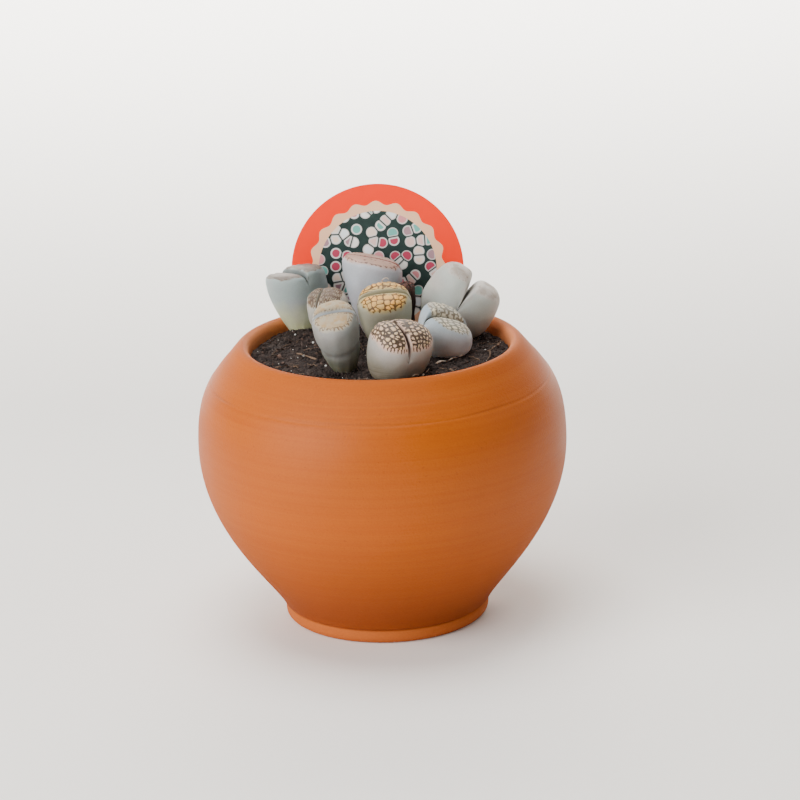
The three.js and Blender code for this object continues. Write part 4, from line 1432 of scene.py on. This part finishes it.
class PLANT_OT_label(bpy.types.Operator):
    """Make the round push-in label"""

    bl_idname = "plant.make_label"
    bl_label = "Make Label"

    def execute(self, context):
        label = context.scene.potted_plant.label
        piece = new_object("plant_label_printed", label_mesh(label))
        piece.data.materials.append(card_material())
        piece.data.materials.append(print_material(label))
        settle(piece, None, "label_plastic", "plant_label")
        return {"FINISHED"}


class PLANT_OT_heads(bpy.types.Operator):
    """Grow the two-lobed heads and the withered one"""

    bl_idname = "plant.grow_heads"
    bl_label = "Grow Heads"

    def execute(self, context):
        for head in context.scene.potted_plant.heads:
            counts = WITHERED_COUNTS if head.name == "withered_head" else HEAD_COUNTS
            piece = new_object(f"{head.name}_skin", head_mesh(head, counts))
            settle(piece, skin_material(head), head.slot, head.name)
        return {"FINISHED"}


class PLANT_OT_dry_leaves(bpy.types.Operator):
    """Make the torn sheaths and dry wisps of last year's leaves"""

    bl_idname = "plant.make_dry_leaves"
    bl_label = "Make Dry Leaves"

    def execute(self, context):
        plant = context.scene.potted_plant
        paper = papery_material("Papery skin", plant.dry_leaves.pale, plant.dry_leaves.brown)
        for sheath in SHEATHS:
            head = plant.heads[sheath["head"]]
            piece = new_object(f"{sheath['name']}_paper", sheath_mesh(sheath, head))
            settle(piece, paper, "dried_leaf", sheath["name"])
        for name, width, thickness, *path in WISPS:
            piece = new_object(name, strand_mesh(name, path, width, thickness))
            settle(piece, paper, "dried_leaf")
        return {"FINISHED"}


class PLANT_OT_stage(bpy.types.Operator):
    """Set up the floor, the lights and the camera"""

    bl_idname = "plant.make_stage"
    bl_label = "Make Stage"

    def execute(self, context):
        scene = context.scene
        stage = scene.potted_plant.stage
        bend = bezier([(1.4, 0), (2.6, 0), (BACKDROP_Y, 0.3), (BACKDROP_Y, 1.6)], 24)
        profile = np.vstack([[(FLOOR_FRONT, 0)], bend, [(BACKDROP_Y, BACKDROP_TOP)]])
        sides = (-FLOOR_REACH, FLOOR_REACH)
        points = np.array([[x, y, z] for y, z in profile for x in sides])
        floor = new_object("floor", mesh_from("floor", points, grid_faces(len(profile), 2)))
        floor.data.flip_normals()
        floor.data.materials.append(stage_material(stage.floor))
        plant_at = Vector((0, 0, 0.09))
        backdrop_at = Vector((0, BACKDROP_Y, 0.9))
        # Name, place, aim, diameter in metres and power in watts
        lights = [
            ("key_light", (-1.25, -1.0, 0.75), plant_at, 1.7, stage.key_power),
            ("fill_light", (1.35, -0.1, 0.8), plant_at, 1.1, stage.fill_power),
            ("top_light", (-0.15, 0.15, 1.7), plant_at, 1.2, stage.top_power),
            ("backdrop_light", (0, 1.3, 1.8), backdrop_at, 1.5, stage.backdrop_power),
        ]
        for name, at, target, size, power in lights:
            data = bpy.data.lights.new(name, "AREA")
            data.shape = "DISK"
            data.size = size
            data.energy = power
            lamp = new_object(name, data)
            lamp.location = at
            lamp.rotation_euler = (target - Vector(at)).to_track_quat("-Z", "Y").to_euler()
        world = bpy.data.worlds.new("Even light")
        world.use_nodes = True
        sky = world.node_tree.nodes["Background"]
        sky.inputs["Color"].default_value = (1, 1, 1, 1)
        sky.inputs["Strength"].default_value = stage.sky
        scene.world = world
        camera = bpy.data.cameras.new("camera")
        camera.lens = stage.lens
        camera.sensor_width = 36
        camera.clip_start = 0.05
        camera.clip_end = 20
        level = math.cos(stage.pitch)
        forward = (math.sin(stage.yaw) * level, math.cos(stage.yaw) * level)
        ahead = Vector((*forward, -math.sin(stage.pitch)))
        right = ahead.cross(Vector((0, 0, 1))).normalized()
        up = right.cross(ahead)
        c, s = math.cos(stage.roll), math.sin(stage.roll)
        axes = Matrix((c * right + s * up, c * up - s * right, -ahead)).transposed().to_4x4()
        eye = new_object("camera", camera)
        at = Matrix.Translation((0, -stage.camera_distance, stage.camera_height))
        eye.matrix_world = at @ axes
        scene.camera = eye
        return {"FINISHED"}


class PLANT_PT_panel(bpy.types.Panel):
    """Lists the plant's makers and settings"""

    bl_label = "Potted Lithops"
    bl_idname = "PLANT_PT_panel"
    bl_space_type = "VIEW_3D"
    bl_region_type = "UI"
    bl_category = "Plant"

    def draw(self, context):
        plant = context.scene.potted_plant
        groups = (plant.pot, plant.soil, plant.label, plant.dry_leaves, plant.stage, *plant.heads)
        for maker in MAKERS:
            self.layout.operator(maker.bl_idname)
        for settings in groups:
            box = self.layout.box()
            for key in settings.__annotations__:
                box.prop(settings, key)


MAKERS = (
    PLANT_OT_pot, PLANT_OT_soil, PLANT_OT_label, PLANT_OT_heads, PLANT_OT_dry_leaves,
    PLANT_OT_stage,
)
CLASSES = (
    PotSettings, SoilSettings, LabelSettings, HeadSettings, DryLeafSettings, StageSettings,
    PlantSettings, *MAKERS, PLANT_PT_panel,
)


def register():
    for cls in CLASSES:
        bpy.utils.register_class(cls)
    bpy.types.Scene.potted_plant = PointerProperty(type=PlantSettings)


def unregister():
    del bpy.types.Scene.potted_plant
    for cls in reversed(CLASSES):
        bpy.utils.unregister_class(cls)


def main():
    """Builds every piece and the stage."""
    register()
    fill_heads(bpy.context.scene.potted_plant.heads)
    bpy.ops.plant.make_pot()
    bpy.ops.plant.fill_soil()
    bpy.ops.plant.make_label()
    bpy.ops.plant.grow_heads()
    bpy.ops.plant.make_dry_leaves()
    bpy.ops.plant.make_stage()


if __name__ == "__main__":
    main()
